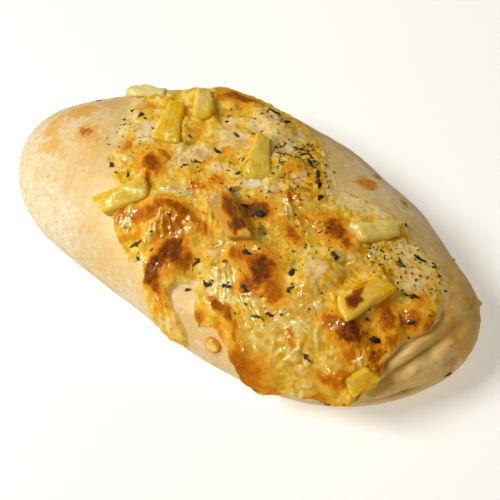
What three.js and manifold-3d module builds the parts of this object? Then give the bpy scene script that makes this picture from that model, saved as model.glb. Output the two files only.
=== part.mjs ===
// A small ciabatta baked under melted cheese, with pineapple pieces and dried herbs.
// Sizes are in millimetres. The loaf rests on Z = 0 with its long axis along X,
// and the origin is under its middle. A place on the crust is given by a bearing,
// in degrees round the loaf from +X, and a reach: 0 at the crown, 1 at the widest
// line, 2 at the edge of the foot and 3 at the middle of the foot.

import * as THREE from 'three';
import { mergeVertices } from 'three/addons/utils/BufferGeometryUtils.js';
import Module from 'manifold-3d';

const wasm = await Module();
wasm.setup();

// The loaf
const LOAF_LENGTH = 202;
const LOAF_WIDTH = 108.6;
const LOAF_HEIGHT = 46;
const WIDEST_LEVEL = 17;
const DOME_POWER = 2.3;
const FOOT_SHARE = 0.84;
// How full the hand-shaped outline is against an oval, every 22.5 degrees of bearing
const FULLNESS = [
  1.010, 1.010, 0.965, 0.985, 1.034, 1.025, 0.937, 0.925,
  0.988, 1.025, 1.036, 0.926, 0.962, 1.055, 1.050, 1.018,
];
const LOAF_SPOKES = 88;
const DOME_RINGS = 15;
const SIDE_RINGS = 6;
const FOOT_RINGS = 2;
// The slow unevenness of hand-shaped dough: its height, and the lengths that set its waves
const CRUST_WAVE = 0.7;
const LONG_WAVE = [13, 11];
const SHORT_WAVE = [7.5, 9, 6];
const SHORT_WAVE_SHARE = 0.6;

// The creases that the folded dough leaves round the +X end:
// [x, y, z of each end, half width, depth]
const END_CREASES = [
  [79, -39, 23, 92, -14, 29, 2.6, 1.6],
  [92, -14, 29, 96, 8, 30, 2.6, 1.2],
  [84, -38, 14, 98, -8, 22, 2.4, 1.3],
  [98, -8, 22, 97, 16, 23, 2.4, 1.0],
];

// Gaps, cheese and herbs
const GAP = 0.3;
const CHEESE_SPOKES = 88;
const CHEESE_RINGS = 19;
const CHEESE_BACK_RINGS = 7;
// Heights over the crust: the cheese's usual top, the top of its thin lip and its back
const CHEESE_DEPTH = 1.5;
const CHEESE_LIP = 1.2;
const CHEESE_SEAT = 0.7;
const LIP_POWER = 10;
// The small lumps all over the cheese: their height and their four wave lengths
const LUMP_HEIGHT = 0.35;
const LUMP_WAVES = [3.4, 5, 2.9, 7];
// How squarely a rise in the cheese falls off at its rim
const RISE_FALL = 1.2;
const HERB_DEPTH = 1.1;
const HERB_SIDES = 6;
const HERB_WAVE = 0.2;

// Where the cheese ends: [bearing in degrees, reach]
const CHEESE_EDGE = [
  [0, 0.66], [17, 0.66], [29, 0.59], [40, 0.58], [48, 0.49], [56, 0.36], [63, 0.40],
  [70, 0.45], [80, 0.58], [91, 0.68], [103, 0.75], [120, 0.76], [134, 0.70], [144, 0.66],
  [154, 0.57], [164, 0.47], [176, 0.43], [188, 0.39], [200, 0.41], [208, 0.40], [220, 0.36],
  [230, 0.40], [236, 0.50], [244, 0.60], [251, 0.66], [256, 0.60], [260, 0.72], [264, 0.82],
  [268, 0.93], [272, 1.10], [275, 0.98], [277, 0.74], [281, 0.68], [285, 0.76], [289, 0.96],
  [293, 1.12], [299, 1.02], [305, 0.96], [309, 1.10], [315, 0.92], [322, 0.80], [327, 0.69],
  [338, 0.63], [350, 0.66],
];

// Rises in the cheese: [x, y, half length, half width, heading in degrees, height]
const CHEESE_RISES = [
  [-22, -21, 11, 8, 60, 2.2],
  [-12, -39, 9, 7, 20, 2.4],
  [21, -24, 11, 8, -30, 2.2],
  [34, -53, 13, 7, -8, 1.6],
  [42, -15, 10, 7, 40, 3.2],
  [5, -27, 9, 5, 5, 2.2],
  [-13, 37, 14, 5, -18, 3.4],
  [7, 22, 7, 4, 10, 2.4],
  [-31, 38, 9, 6, -40, 2.4],
  [42, 1, 8, 6, 30, 1.6],
  [62, -26, 8, 6, 0, 2.2],
  [72, -14, 5, 5, 0, 1.8],
  [82, -4, 6, 9, 0, 2.0],
  [67, -41, 8, 5, -10, 1.6],
  [-38, -5, 6, 6, 0, 1.6],
  [11, -43, 6, 4, -20, 1.4],
  [14, 2, 7, 5, 0, 1.2],
  [-56, 8, 8, 8, 0, 0.8],
];

// Folds in the cheese: [x and y of each end, half width, height]
const CHEESE_FOLDS = [
  [-22, -19, -22, -36, 2.6, 1.6],
  [-22, -19, -5, -22, 2.8, 1.2],
  [-18, -42, -16, -35, 2.2, 1.8],
  [-16, -35, -6, -31, 2.2, 1.4],
  [11, -41, 27, -45, 2.2, 1.5],
  [-20, 30, 0, 36, 2.0, 1.4],
  [75, -20, 83, -4, 2.2, 1.2],
];

// The bare crust that shows in a bay of the cheese: outline of [x, y]
const BARE_BAY = [
  [-6, -43], [-1, -42.4], [4, -43.5], [8, -46.5], [12, -49.8], [21, -51.2],
  [23.5, -54], [22, -62], [10, -62], [8.5, -54], [4, -49.6], [-2, -46.5],
];

// Pineapple pieces: each is a sector cut from a ring slice. at is its middle on the
// crust, heading points from its wide end to its narrow end, pitch lifts the narrow
// end, and roll lifts its left side.
const PINEAPPLE = [
  { at: [-41, 14.5], long: 19, wide: 10, narrow: 6, thick: 5.5, heading: 110, pitch: 3, roll: -12 },
  { at: [-36.6, 28.6], long: 17, wide: 8.5, narrow: 7.5, thick: 6.5, heading: 123, pitch: 0, roll: 6 },
  { at: [-40, -23.5], long: 21, wide: 11.5, narrow: 6.5, thick: 4.5, heading: 230, pitch: 0, roll: 0 },
  { at: [-2.8, 17.2], long: 21, wide: 12.5, narrow: 6.5, thick: 4.5, heading: 114, pitch: 0, roll: 0 },
  { at: [1.2, -12.5], long: 21, wide: 9, narrow: 7, thick: 8, heading: 328, pitch: 0, roll: -4 },
  { at: [49, 15.5], long: 18.5, wide: 9, narrow: 6.5, thick: 5, heading: 44, pitch: 0, roll: 0 },
  { at: [60.5, -12.5], long: 21, wide: 10.5, narrow: 7.5, thick: 6.5, heading: 64, pitch: 0, roll: -6 },
  { at: [73, -35.5], long: 14, wide: 10, narrow: 8, thick: 5.5, heading: 64, pitch: 0, roll: 0 },
  { at: [-62, 27], long: 19, wide: 8, narrow: 6, thick: 3.5, heading: 14, pitch: 0, roll: 0 },
];
// How far each piece is pressed into the crust, its chamfer and the bow of its ends
const PINEAPPLE_SUNK = 1;
const PINEAPPLE_CHAMFER = 0.8;
const PINEAPPLE_BOW = 1.2;

// The round drip beside the cheese
const DROP_BEARING = 281;
const DROP_REACH = 0.82;
const DROP_RADIUS = 3.4;
const DROP_HEIGHT = 1.5;
const DROP_SIDES = 16;

// The largest herb flakes: [x, y, length, width, heading in degrees]
const HERB_FLAKES = [
  [-25, -35, 5, 2.4, 35], [14.3, -20.5, 3, 2.6, 0], [25.6, 14.7, 3, 2, 60],
  [65, 7.5, 3.6, 2.4, 0], [69.6, 14.5, 5, 1.5, 5], [75.3, -0.6, 4.6, 2.6, 10],
  [71.5, -22.5, 4, 2.6, 20], [-52, -13.2, 3, 1.8, -40], [-10.5, 38.5, 4.4, 1.6, 10],
  [-5.5, 42.5, 3, 2, 60], [33, -18.8, 3.6, 2.4, 80], [35.3, -24.2, 3, 2, 60],
  [9.5, 30.6, 3.6, 1.6, 30], [14, 27.4, 3, 1.6, -50], [19.5, 23.8, 3.4, 1.6, -60],
  [22.6, 18.9, 3, 1.6, -80], [10.5, -4.4, 4.4, 3, 30], [-1, -32.2, 3.4, 1.8, 70],
  [14, -34.4, 3.4, 2.2, 20], [20.5, -32, 3, 2, -20], [30, -38, 3, 1.6, 10],
  [33.5, -35.4, 3, 1.4, 0], [52.5, -40.6, 2.8, 2, 0], [79, -10, 3.4, 2, 30],
  [-19, 12, 2.8, 1.8, 0], [-23.5, 4, 3.2, 1.8, 20], [-56, 13, 3, 1.6, 60],
  [-17, 22.5, 2.6, 1.8, 0], [42.5, -4.5, 2.8, 2, 0], [7, -37, 2.8, 1.8, 20],
];

const DEGREE = Math.PI / 180;

// A smooth closed curve through even steps of a list, for a share of a full turn
function roundTable(list, share) {
  const count = list.length;
  const place = (((share % 1) + 1) % 1) * count;
  const step = Math.floor(place);
  const f = place - step;
  const [a, b, c, d] = [-1, 0, 1, 2].map((k) => list[(step + k + count) % count]);
  const bend = 2 * a - 5 * b + 4 * c - d;
  return b + 0.5 * f * (c - a + f * (bend + f * (3 * (b - c) + d - a)));
}

// A straight-line reading of [bearing, value] pairs round the full circle
function readRound(pairs, bearing) {
  const angle = ((bearing % 360) + 360) % 360;
  for (let i = 0; i < pairs.length; i += 1) {
    const [from, low] = pairs[i];
    const [next, high] = pairs[(i + 1) % pairs.length];
    const to = i + 1 < pairs.length ? next : next + 360;
    if (angle >= from && angle <= to) return low + ((high - low) * (angle - from)) / (to - from);
  }
  return pairs[0][1];
}

// How far the unevenness lifts the crust at a point
function crustWave(x, y, z) {
  const long = Math.sin(x / LONG_WAVE[0] + 0.7) * Math.cos(y / LONG_WAVE[1] - 0.4);
  const short = Math.sin(x / SHORT_WAVE[0] - y / SHORT_WAVE[1] + z / SHORT_WAVE[2]);
  return CRUST_WAVE * (long + SHORT_WAVE_SHARE * short);
}

// How far a point lies from a line between two ends
function distanceToLine(point, from, to) {
  const along = to.clone().sub(from);
  const offset = point.clone().sub(from);
  const share = THREE.MathUtils.clamp(offset.dot(along) / along.lengthSq(), 0, 1);
  return offset.sub(along.multiplyScalar(share)).length();
}

// The smooth loaf, before waves and creases
function plainCrust(bearing, reach) {
  const angle = bearing * DEGREE;
  const full = roundTable(FULLNESS, bearing / 360);
  const share = Math.sin(Math.min(reach, 1) * 0.5 * Math.PI);
  const dome = Math.sqrt(Math.max(0, 1 - share ** DOME_POWER));
  let out = share;
  let height = WIDEST_LEVEL + (LOAF_HEIGHT - WIDEST_LEVEL) * dome;
  if (reach > 1) {
    const tuck = Math.min(reach - 1, 1) * 0.5 * Math.PI;
    out = FOOT_SHARE + (1 - FOOT_SHARE) * Math.cos(tuck);
    height = WIDEST_LEVEL * (1 - Math.sin(tuck));
  }
  if (reach > 2) {
    out = FOOT_SHARE * (3 - reach);
    height = 0;
  }
  const x = 0.5 * LOAF_LENGTH * full * out * Math.cos(angle);
  const y = 0.5 * LOAF_WIDTH * full * out * Math.sin(angle);
  return new THREE.Vector3(x, y, height);
}

// The direction straight out of the smooth loaf
function crustNormal(bearing, reach) {
  if (reach < 0.01) return new THREE.Vector3(0, 0, 1);
  if (reach >= 2) return new THREE.Vector3(0, 0, -1);
  const step = 0.004;
  const round = plainCrust(bearing + 0.5, reach).sub(plainCrust(bearing - 0.5, reach));
  const down = plainCrust(bearing, Math.min(reach + step, 2)).sub(plainCrust(bearing, reach - step));
  return down.cross(round).normalize();
}

// The real crust with its waves and creases, raised by lift along its normal
function crust(bearing, reach, lift = 0) {
  const point = plainCrust(bearing, reach);
  if (reach >= 2) return point.setZ(-lift);
  let rise = crustWave(point.x, point.y, point.z) * Math.min(1, 2 - reach);
  for (const [ax, ay, az, bx, by, bz, half, depth] of END_CREASES) {
    const away = distanceToLine(point, new THREE.Vector3(ax, ay, az), new THREE.Vector3(bx, by, bz));
    rise -= depth * Math.exp(-((away / half) ** 2));
  }
  return point.addScaledVector(crustNormal(bearing, reach), rise + lift);
}

// Turns a place in plan into its bearing and reach on the dome
function placeOnDome(x, y) {
  const bearing = Math.atan2(y / (0.5 * LOAF_WIDTH), x / (0.5 * LOAF_LENGTH)) / DEGREE;
  const full = roundTable(FULLNESS, bearing / 360);
  const share = Math.hypot(x / (0.5 * LOAF_LENGTH), y / (0.5 * LOAF_WIDTH)) / full;
  return [bearing, Math.asin(Math.min(share, 1)) / (0.5 * Math.PI)];
}

// Rings of points between two poles, closed into one body.
// Each ring is a list of points, and all have the same count.
function closedRings(topPole, rings, bottomPole) {
  const points = [topPole, ...rings.flat(), bottomPole];
  const count = rings[0].length;
  const last = points.length - 1;
  const faces = [];
  for (let k = 0; k < count; k += 1) {
    const next = (k + 1) % count;
    faces.push(0, 1 + k, 1 + next);
    const base = 1 + (rings.length - 1) * count;
    faces.push(last, base + next, base + k);
    for (let r = 0; r + 1 < rings.length; r += 1) {
      const a = 1 + r * count + k;
      const b = 1 + r * count + next;
      const c = a + count;
      const d = b + count;
      if ((k + r) % 2) faces.push(a, c, b, b, c, d);
      else faces.push(a, c, d, a, d, b);
    }
  }
  const geometry = new THREE.BufferGeometry();
  const flat = points.flatMap((p) => [p.x, p.y, p.z]);
  geometry.setAttribute('position', new THREE.Float32BufferAttribute(flat, 3));
  geometry.setIndex(faces);
  return geometry;
}

// One full turn of a ring
function ringOf(spokes, makePoint) {
  return Array.from({ length: spokes }, (_, k) => makePoint((360 * k) / spokes));
}

function loafGeometry(lift) {
  const rings = [];
  for (let r = 1; r <= DOME_RINGS; r += 1) {
    rings.push(ringOf(LOAF_SPOKES, (bearing) => crust(bearing, r / DOME_RINGS, lift)));
  }
  for (let r = 1; r <= SIDE_RINGS; r += 1) {
    rings.push(ringOf(LOAF_SPOKES, (bearing) => crust(bearing, 1 + r / SIDE_RINGS, lift)));
  }
  for (let r = 1; r < FOOT_RINGS; r += 1) {
    rings.push(ringOf(LOAF_SPOKES, (bearing) => crust(bearing, 2 + r / FOOT_RINGS, lift)));
  }
  return closedRings(crust(0, 0, lift), rings, new THREE.Vector3(0, 0, -lift));
}

// How deep the cheese lies at a place in plan, before its edge thins it
function cheeseDepth(x, y) {
  const [a, b, c, d] = LUMP_WAVES;
  let depth = CHEESE_DEPTH + LUMP_HEIGHT * Math.sin(x / a + y / b) * Math.cos(y / c - x / d);
  for (const [cx, cy, half, side, heading, height] of CHEESE_RISES) {
    const cos = Math.cos(heading * DEGREE);
    const sin = Math.sin(heading * DEGREE);
    const along = ((x - cx) * cos + (y - cy) * sin) / half;
    const across = ((y - cy) * cos - (x - cx) * sin) / side;
    depth += height * Math.exp(-RISE_FALL * (along ** 2 + across ** 2) ** 2);
  }
  for (const [ax, ay, bx, by, half, height] of CHEESE_FOLDS) {
    const point = new THREE.Vector3(x, y, 0);
    const away = distanceToLine(point, new THREE.Vector3(ax, ay, 0), new THREE.Vector3(bx, by, 0));
    depth += height * Math.exp(-((away / half) ** 2));
  }
  return depth;
}

// The cheese is a skin: a top that follows its depth and a back a gap above the crust
function cheeseGeometry() {
  const rings = [];
  const top = (bearing, share) => {
    const reach = share * readRound(CHEESE_EDGE, bearing);
    const { x, y } = plainCrust(bearing, reach);
    const thin = 1 - share ** LIP_POWER;
    return crust(bearing, reach, CHEESE_LIP + (cheeseDepth(x, y) - CHEESE_LIP) * thin);
  };
  const back = (bearing, share) => crust(bearing, share * readRound(CHEESE_EDGE, bearing), CHEESE_SEAT);
  for (let r = 1; r <= CHEESE_RINGS; r += 1) {
    rings.push(ringOf(CHEESE_SPOKES, (bearing) => top(bearing, r / CHEESE_RINGS)));
  }
  for (let r = CHEESE_BACK_RINGS; r > 0; r -= 1) {
    rings.push(ringOf(CHEESE_SPOKES, (bearing) => back(bearing, r / CHEESE_BACK_RINGS)));
  }
  return closedRings(top(0, 0), rings, back(0, 0));
}

// A pineapple piece, made larger all round by grow to cut room for it
function pineappleGeometry(piece, grow = 0) {
  const half = 0.5 * piece.long + grow;
  const wide = 0.5 * piece.wide + grow;
  const narrow = 0.5 * piece.narrow + grow;
  const inset = PINEAPPLE_CHAMFER;
  const outline = new THREE.Shape();
  outline.moveTo(-half + inset, -wide + inset);
  outline.lineTo(half - inset, -narrow + inset);
  outline.quadraticCurveTo(half - inset - PINEAPPLE_BOW, 0, half - inset, narrow - inset);
  outline.lineTo(-half + inset, wide - inset);
  outline.quadraticCurveTo(-half + inset - 2 * PINEAPPLE_BOW, 0, -half + inset, -wide + inset);
  const geometry = new THREE.ExtrudeGeometry(outline, {
    depth: piece.thick + PINEAPPLE_SUNK + 2 * grow - 2 * inset,
    bevelThickness: inset,
    bevelSize: inset,
    bevelSegments: 1,
    curveSegments: 3,
  });
  geometry.translate(0, 0, inset - grow - PINEAPPLE_SUNK);
  const [bearing, reach] = placeOnDome(...piece.at);
  const up = crustNormal(bearing, reach);
  const turn = new THREE.Matrix4().makeRotationZ(piece.heading * DEGREE);
  turn.multiply(new THREE.Matrix4().makeRotationY(-piece.pitch * DEGREE));
  turn.multiply(new THREE.Matrix4().makeRotationX(piece.roll * DEGREE));
  const upright = new THREE.Quaternion().setFromUnitVectors(new THREE.Vector3(0, 0, 1), up);
  geometry.applyMatrix4(turn);
  geometry.applyQuaternion(upright);
  const seat = crust(bearing, reach, GAP);
  geometry.translate(seat.x, seat.y, seat.z);
  return geometry;
}

// A lens-shaped drip that lies on the side of the crust
function dropGeometry() {
  const up = crustNormal(DROP_BEARING, DROP_REACH);
  const seat = crust(DROP_BEARING, DROP_REACH, 2 * GAP);
  const upright = new THREE.Quaternion().setFromUnitVectors(new THREE.Vector3(0, 0, 1), up);
  const lens = (radius, height) => ringOf(DROP_SIDES, (bearing) => {
    const x = radius * Math.cos(bearing * DEGREE);
    const y = radius * Math.sin(bearing * DEGREE);
    return new THREE.Vector3(x, y, height).applyQuaternion(upright).add(seat);
  });
  const crown = (share) => lens(DROP_RADIUS * share, DROP_HEIGHT * (1 - 0.9 * share ** 3));
  const rings = [crown(0.45), crown(0.8), crown(1), lens(DROP_RADIUS, -GAP)];
  const tip = new THREE.Vector3(0, 0, DROP_HEIGHT).applyQuaternion(upright).add(seat);
  const back = new THREE.Vector3(0, 0, -GAP).applyQuaternion(upright).add(seat);
  return closedRings(tip, rings, back);
}

// A thin wavy herb flake, half sunk in the cheese under it
function herbGeometry([x, y, long, wide, heading], cheeseMesh) {
  const eye = new THREE.Raycaster(new THREE.Vector3(x, y, 2 * LOAF_HEIGHT), new THREE.Vector3(0, 0, -1));
  const hit = eye.intersectObject(cheeseMesh)[0];
  const upright = new THREE.Quaternion().setFromUnitVectors(new THREE.Vector3(0, 0, 1), hit.face.normal);
  const turn = new THREE.Quaternion().setFromAxisAngle(new THREE.Vector3(0, 0, 1), heading * DEGREE);
  const place = (point) => point.applyQuaternion(turn).applyQuaternion(upright).add(hit.point);
  const leaf = (height) => ringOf(HERB_SIDES, (bearing) => {
    const wave = HERB_WAVE * Math.sin(3 * bearing * DEGREE);
    const along = 0.5 * long * Math.cos(bearing * DEGREE);
    const across = 0.5 * wide * Math.sin(bearing * DEGREE);
    return place(new THREE.Vector3(along, across, height + wave));
  });
  const top = place(new THREE.Vector3(0, 0, 0.5 * HERB_DEPTH));
  const bottom = place(new THREE.Vector3(0, 0, -0.5 * HERB_DEPTH));
  return closedRings(top, [leaf(0.35 * HERB_DEPTH), leaf(-0.35 * HERB_DEPTH)], bottom);
}

// A prism that stands over the bare bay
function bayGeometry() {
  const outline = new THREE.Shape(BARE_BAY.map(([x, y]) => new THREE.Vector2(x, y)));
  return new THREE.ExtrudeGeometry(outline, { depth: LOAF_HEIGHT, bevelEnabled: false });
}

// A closed geometry as a solid that can be joined and cut
function toSolid(geometry) {
  const plain = geometry.clone();
  plain.deleteAttribute('normal');
  plain.deleteAttribute('uv');
  const merged = mergeVertices(plain, 1e-4);
  const vertProperties = new Float32Array(merged.attributes.position.array);
  const triVerts = new Uint32Array(merged.index.array);
  return new wasm.Manifold(new wasm.Mesh({ numProp: 3, vertProperties, triVerts }));
}

// A solid back as a geometry
function toGeometry(solid) {
  const mesh = solid.getMesh();
  const geometry = new THREE.BufferGeometry();
  geometry.setAttribute('position', new THREE.BufferAttribute(mesh.vertProperties, 3));
  geometry.setIndex(new THREE.BufferAttribute(mesh.triVerts, 1));
  return geometry;
}

function material(color, roughness) {
  return new THREE.MeshStandardMaterial({ color, roughness, metalness: 0, flatShading: true });
}

const crustFinish = material(0xe6cf9b, 0.75);
const cheeseFinish = material(0xe0b548, 0.35);
const pineappleFinish = material(0xe2c24e, 0.4);
const group = new THREE.Group();

function addPiece(name, geometry, finish) {
  const mesh = new THREE.Mesh(geometry, finish);
  mesh.name = name;
  group.add(mesh);
}

addPiece('bread', loafGeometry(0), crustFinish);

const crustRoom = toSolid(loafGeometry(GAP));
let cheese = toSolid(cheeseGeometry()).subtract(crustRoom).subtract(toSolid(bayGeometry()));
for (const piece of PINEAPPLE) {
  cheese = cheese.subtract(toSolid(pineappleGeometry(piece, GAP)));
}
const bareCheese = new THREE.Mesh(toGeometry(cheese), cheeseFinish);
for (const flake of HERB_FLAKES) {
  cheese = cheese.add(toSolid(herbGeometry(flake, bareCheese)));
}
addPiece('cheese', toGeometry(cheese), cheeseFinish);
addPiece('cheese_drop', toGeometry(toSolid(dropGeometry()).subtract(crustRoom)), cheeseFinish);

PINEAPPLE.forEach((piece, index) => {
  const solid = toSolid(pineappleGeometry(piece)).subtract(crustRoom);
  addPiece(`pineapple_${index + 1}`, toGeometry(solid), pineappleFinish);
});

export default group;
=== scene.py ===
# A small ciabatta baked under melted cheese, with pineapple pieces and dried herbs.
# Lengths in the named values are in millimetres and become metres as they go into a mesh.
# Only the lamps and the studio floor are given in metres.
# A place on the crust is given by a bearing, in degrees round the loaf from +X, and a
# reach: 0 at the crown, 1 at the widest line, 2 at the edge of the foot, 3 at its middle.

import itertools
import math
import random

import bpy
import numpy as np
from mathutils import Matrix, Vector


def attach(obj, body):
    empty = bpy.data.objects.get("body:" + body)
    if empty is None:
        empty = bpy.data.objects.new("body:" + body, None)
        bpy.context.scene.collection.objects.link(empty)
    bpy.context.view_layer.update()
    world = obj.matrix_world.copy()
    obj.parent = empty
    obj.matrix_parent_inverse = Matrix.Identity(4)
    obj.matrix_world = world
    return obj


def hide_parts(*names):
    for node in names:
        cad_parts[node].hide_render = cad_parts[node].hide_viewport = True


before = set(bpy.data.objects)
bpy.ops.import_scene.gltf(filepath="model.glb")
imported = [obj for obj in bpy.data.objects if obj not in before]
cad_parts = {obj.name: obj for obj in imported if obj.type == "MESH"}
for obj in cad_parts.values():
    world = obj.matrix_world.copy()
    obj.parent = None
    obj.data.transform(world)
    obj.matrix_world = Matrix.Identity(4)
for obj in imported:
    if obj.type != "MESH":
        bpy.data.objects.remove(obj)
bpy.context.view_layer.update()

MM = 0.001
BODY = "root"

# ---------------------------------------------------------------- the loaf's form
LOAF_LENGTH = 202
LOAF_WIDTH = 108.6
LOAF_HEIGHT = 46
WIDEST_LEVEL = 17
DOME_POWER = 2.3
FOOT_SHARE = 0.84
# How full the hand-shaped outline is against an oval, every 22.5 degrees of bearing
FULLNESS = [
    1.010, 1.010, 0.965, 0.985, 1.034, 1.025, 0.937, 0.925,
    0.988, 1.025, 1.036, 0.926, 0.962, 1.055, 1.050, 1.018,
]
CRUST_WAVE = 0.7
LONG_WAVE = (13, 11)
SHORT_WAVE = (7.5, 9, 6)
SHORT_WAVE_SHARE = 0.6
# Creases round the +X end: ends as x, y, z, then half width and depth
END_CREASES = [
    ((79, -39, 23), (92, -14, 29), 2.6, 1.6),
    ((92, -14, 29), (96, 8, 30), 2.6, 1.2),
    ((84, -38, 14), (98, -8, 22), 2.4, 1.3),
    ((98, -8, 22), (97, 16, 23), 2.4, 1.0),
]
# Folds of the dough round the +X end: ends as x, y, z, then half width and height
END_FOLDS = [
    ((79, -27, 31), (84, -15, 34.5), 2.4, -0.9), ((82, -26, 31), (89, -8, 33), 1.8, 1.1),
    ((89, -8, 33), (93, 9, 30.5), 1.8, 1.0), ((78.5, -38, 23), (84.5, -26, 29.6), 1.3, -1.1),
    ((84.5, -26, 29.6), (92, -9, 31), 1.3, -1.2), ((92, -9, 31), (95, 3, 30), 1.3, -0.8),
    ((80, -37, 20), (89, -21, 27), 2.2, 0.9), ((89, -21, 27), (96, -4, 28), 2.0, 0.7),
    ((74, -43, 14), (90, -28, 16), 1.4, -0.8), ((90, -28, 16), (98, -12, 19), 1.4, -0.7),
    ((96, -2, 27), (94, 18, 25), 1.4, -0.6), ((-66, -19, 39), (-62, -33, 35), 0.8, -0.35),
    ((95, 17, 22), (97, 21, 20), 1.1, 1.6),
]
# Relief of the crust, swells and then grain: height, size and seed
CRUST_RELIEF = [(0.3, 9, 11), (0.1, 2.4, 15)]
# The wrinkled +X end: where it starts and is full along X, and the form of its wrinkles
END_START = 66
END_FULL = 90
WRINKLE_HEADING = 62
WRINKLE_HEIGHT = 0.35
WRINKLE_SIZE = (16, 4, 7)
LOAF_CUTS = 126

# ---------------------------------------------------------------- the cheese's form
# Where the cheese ends: bearing in degrees and reach
CHEESE_EDGE = [
    (0, 0.66), (17, 0.66), (29, 0.59), (40, 0.58), (48, 0.49), (56, 0.36), (63, 0.40),
    (70, 0.45), (80, 0.58), (91, 0.68), (103, 0.75), (120, 0.76), (134, 0.70), (144, 0.66),
    (154, 0.57), (164, 0.47), (176, 0.43), (188, 0.39), (200, 0.41), (208, 0.40), (220, 0.36),
    (230, 0.40), (236, 0.50), (244, 0.60), (251, 0.66), (256, 0.62), (260, 0.75), (262, 0.82),
    (264, 0.90), (266, 0.99), (268, 1.08), (271, 1.13), (274, 1.08), (275.5, 0.93), (277, 0.74),
    (281, 0.68), (285, 0.76), (289, 0.96), (293, 1.12), (299, 1.02), (305, 0.96), (309, 1.10),
    (315, 0.92), (322, 0.80), (327, 0.69), (338, 0.63), (350, 0.66),
]
# How wide the rim is that fades into the crust: bearing in degrees and millimetres
FADING_RIM = [
    (0, 5), (15, 9), (30, 9), (45, 7), (60, 8), (85, 7), (97, 2), (112, 1), (125, 4), (140, 8),
    (160, 11), (178, 11), (196, 8), (208, 3), (222, 1), (256, 1), (264, 1.5), (276, 1.2), (286, 0.5),
    (300, 0.5), (325, 0.8), (345, 2.5),
]
CHEESE_DEPTH = 1.5
LUMP_HEIGHT = 0.35
LUMP_WAVES = (3.4, 5, 2.9, 7)
RISE_FALL = 1.2
# Rises in the cheese: x, y, half length, half width, heading in degrees, height
CHEESE_RISES = [
    (-22, -21, 11, 8, 60, 2.2), (-12, -39, 9, 7, 20, 2.4), (21, -24, 11, 8, -30, 2.2),
    (34, -53, 13, 7, -8, 1.6), (42, -15, 10, 7, 40, 3.2), (5, -27, 9, 5, 5, 2.2),
    (-13, 37, 14, 5, -18, 3.4), (7, 22, 7, 4, 10, 2.4), (-31, 38, 9, 6, -40, 2.4),
    (42, 1, 8, 6, 30, 1.6), (62, -26, 8, 6, 0, 2.2), (72, -14, 5, 5, 0, 1.8),
    (82, -4, 6, 9, 0, 2.0), (67, -41, 8, 5, -10, 1.6), (-38, -5, 6, 6, 0, 1.6),
    (11, -43, 6, 4, -20, 1.4), (14, 2, 7, 5, 0, 1.2), (-56, 8, 8, 8, 0, 0.8),
]
# Folds in the cheese: x and y of each end, half width, height
CHEESE_FOLDS = [
    (-22, -19, -22, -36, 2.6, 1.6), (-22, -19, -5, -22, 2.8, 1.2),
    (-18, -42, -16, -35, 2.2, 1.8), (-16, -35, -6, -31, 2.2, 1.4),
    (11, -41, 27, -45, 2.2, 1.5), (-20, 30, 0, 36, 2.0, 1.4), (75, -20, 83, -4, 2.2, 1.2),
]
# Thin stretched strings: x and y of each end, half width, height
CHEESE_STRANDS = [
    (-23, -18, -20, -29, .7, .8), (-22.5, -18, -17, -29, .6, .8), (-22, -18, -14, -27, .6, .9),
    (-21.5, -18, -11, -25.5, .6, .8), (-21, -18, -9, -23, .7, .7), (-8, -8, -2, -20, .6, .7),
    (-10, -9, -4, -21, .6, .7), (-6, -8, 1, -20, .5, .6), (8, -30, 13, -41, .6, .8),
    (10, -29, 17, -40, .6, .8), (12, -29, 20, -41, .6, .7), (26, -34, 36, -41, .5, .7),
    (14, 10, 20, -1, .5, .8), (13, 11, 22, 0, .5, .8), (46, -33, 50, -43, .7, .7),
    (49, -32, 54, -42, .7, .7), (52, -32, 58, -41, .6, .7), (38, -40, 42, -48, .6, .6),
    (-6, -46, 4, -55, .7, .5), (-3, -46, 8, -55, .7, .5), (-9, -45, -1, -55, .7, .5),
]
# The bare crust that shows in a bay of the cheese: outline of x, y
BARE_BAY = [
    (-4.6, -44), (-3, -41.6), (1, -40.6), (4, -42.4), (5.6, -45.5), (7.4, -48.6), (11, -50),
    (14, -49), (19, -50), (23, -52.5), (25, -56), (24, -63), (12, -63), (10.4, -56),
    (9.4, -53), (6, -50.8), (2, -48.8), (-1.5, -47),
]
CHEESE_CUTS = 299
BACK_CUTS = 59
# The sheet ends, sunk in the crust, at this many times the reach of the cheese's edge
CHEESE_OVERHANG = 1.02
THINNEST_CHEESE = 0.15
# The rounded lip at the edge, and how deep the edge and the back lie in the crust
LIP_WIDTH = 2.2
EDGE_SUNK = 0.5
BACK_SUNK = 1.2
# How far the edge wanders, where the cheese is thick and how much more where it is a film
EDGE_WANDER = 1.1
FILM_WANDER = 2
# The share of its depth and relief that the cheese loses where it is a film
FILM_LOSS = 0.85
# The way in which the cheese ran as it melted, and how far that way wanders
RUN_HEADING = 25
RUN_DRIFT = 9
RUN_DRIFT_SIZE = 26
# The paler glow round a browned spot: how strong, how ragged and how wide
GLOW_STRENGTH = 0.36
GLOW_RAGGED = 2.2
GLOW_REACH = 2.1
# The collar of cheese round a pineapple piece: least climb, climb with cling, and width
COLLAR_LEAST = 0.18
COLLAR_CLING = 0.4
COLLAR_WIDTH = 2.4

# What a pineapple piece is like where its own row doesn't say otherwise
PLAIN_CHUNK = dict(pitch=0, roll=0, slant=(0, 0), slope=0, round=1.2, pale=0, dim=0, browned=())
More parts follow.
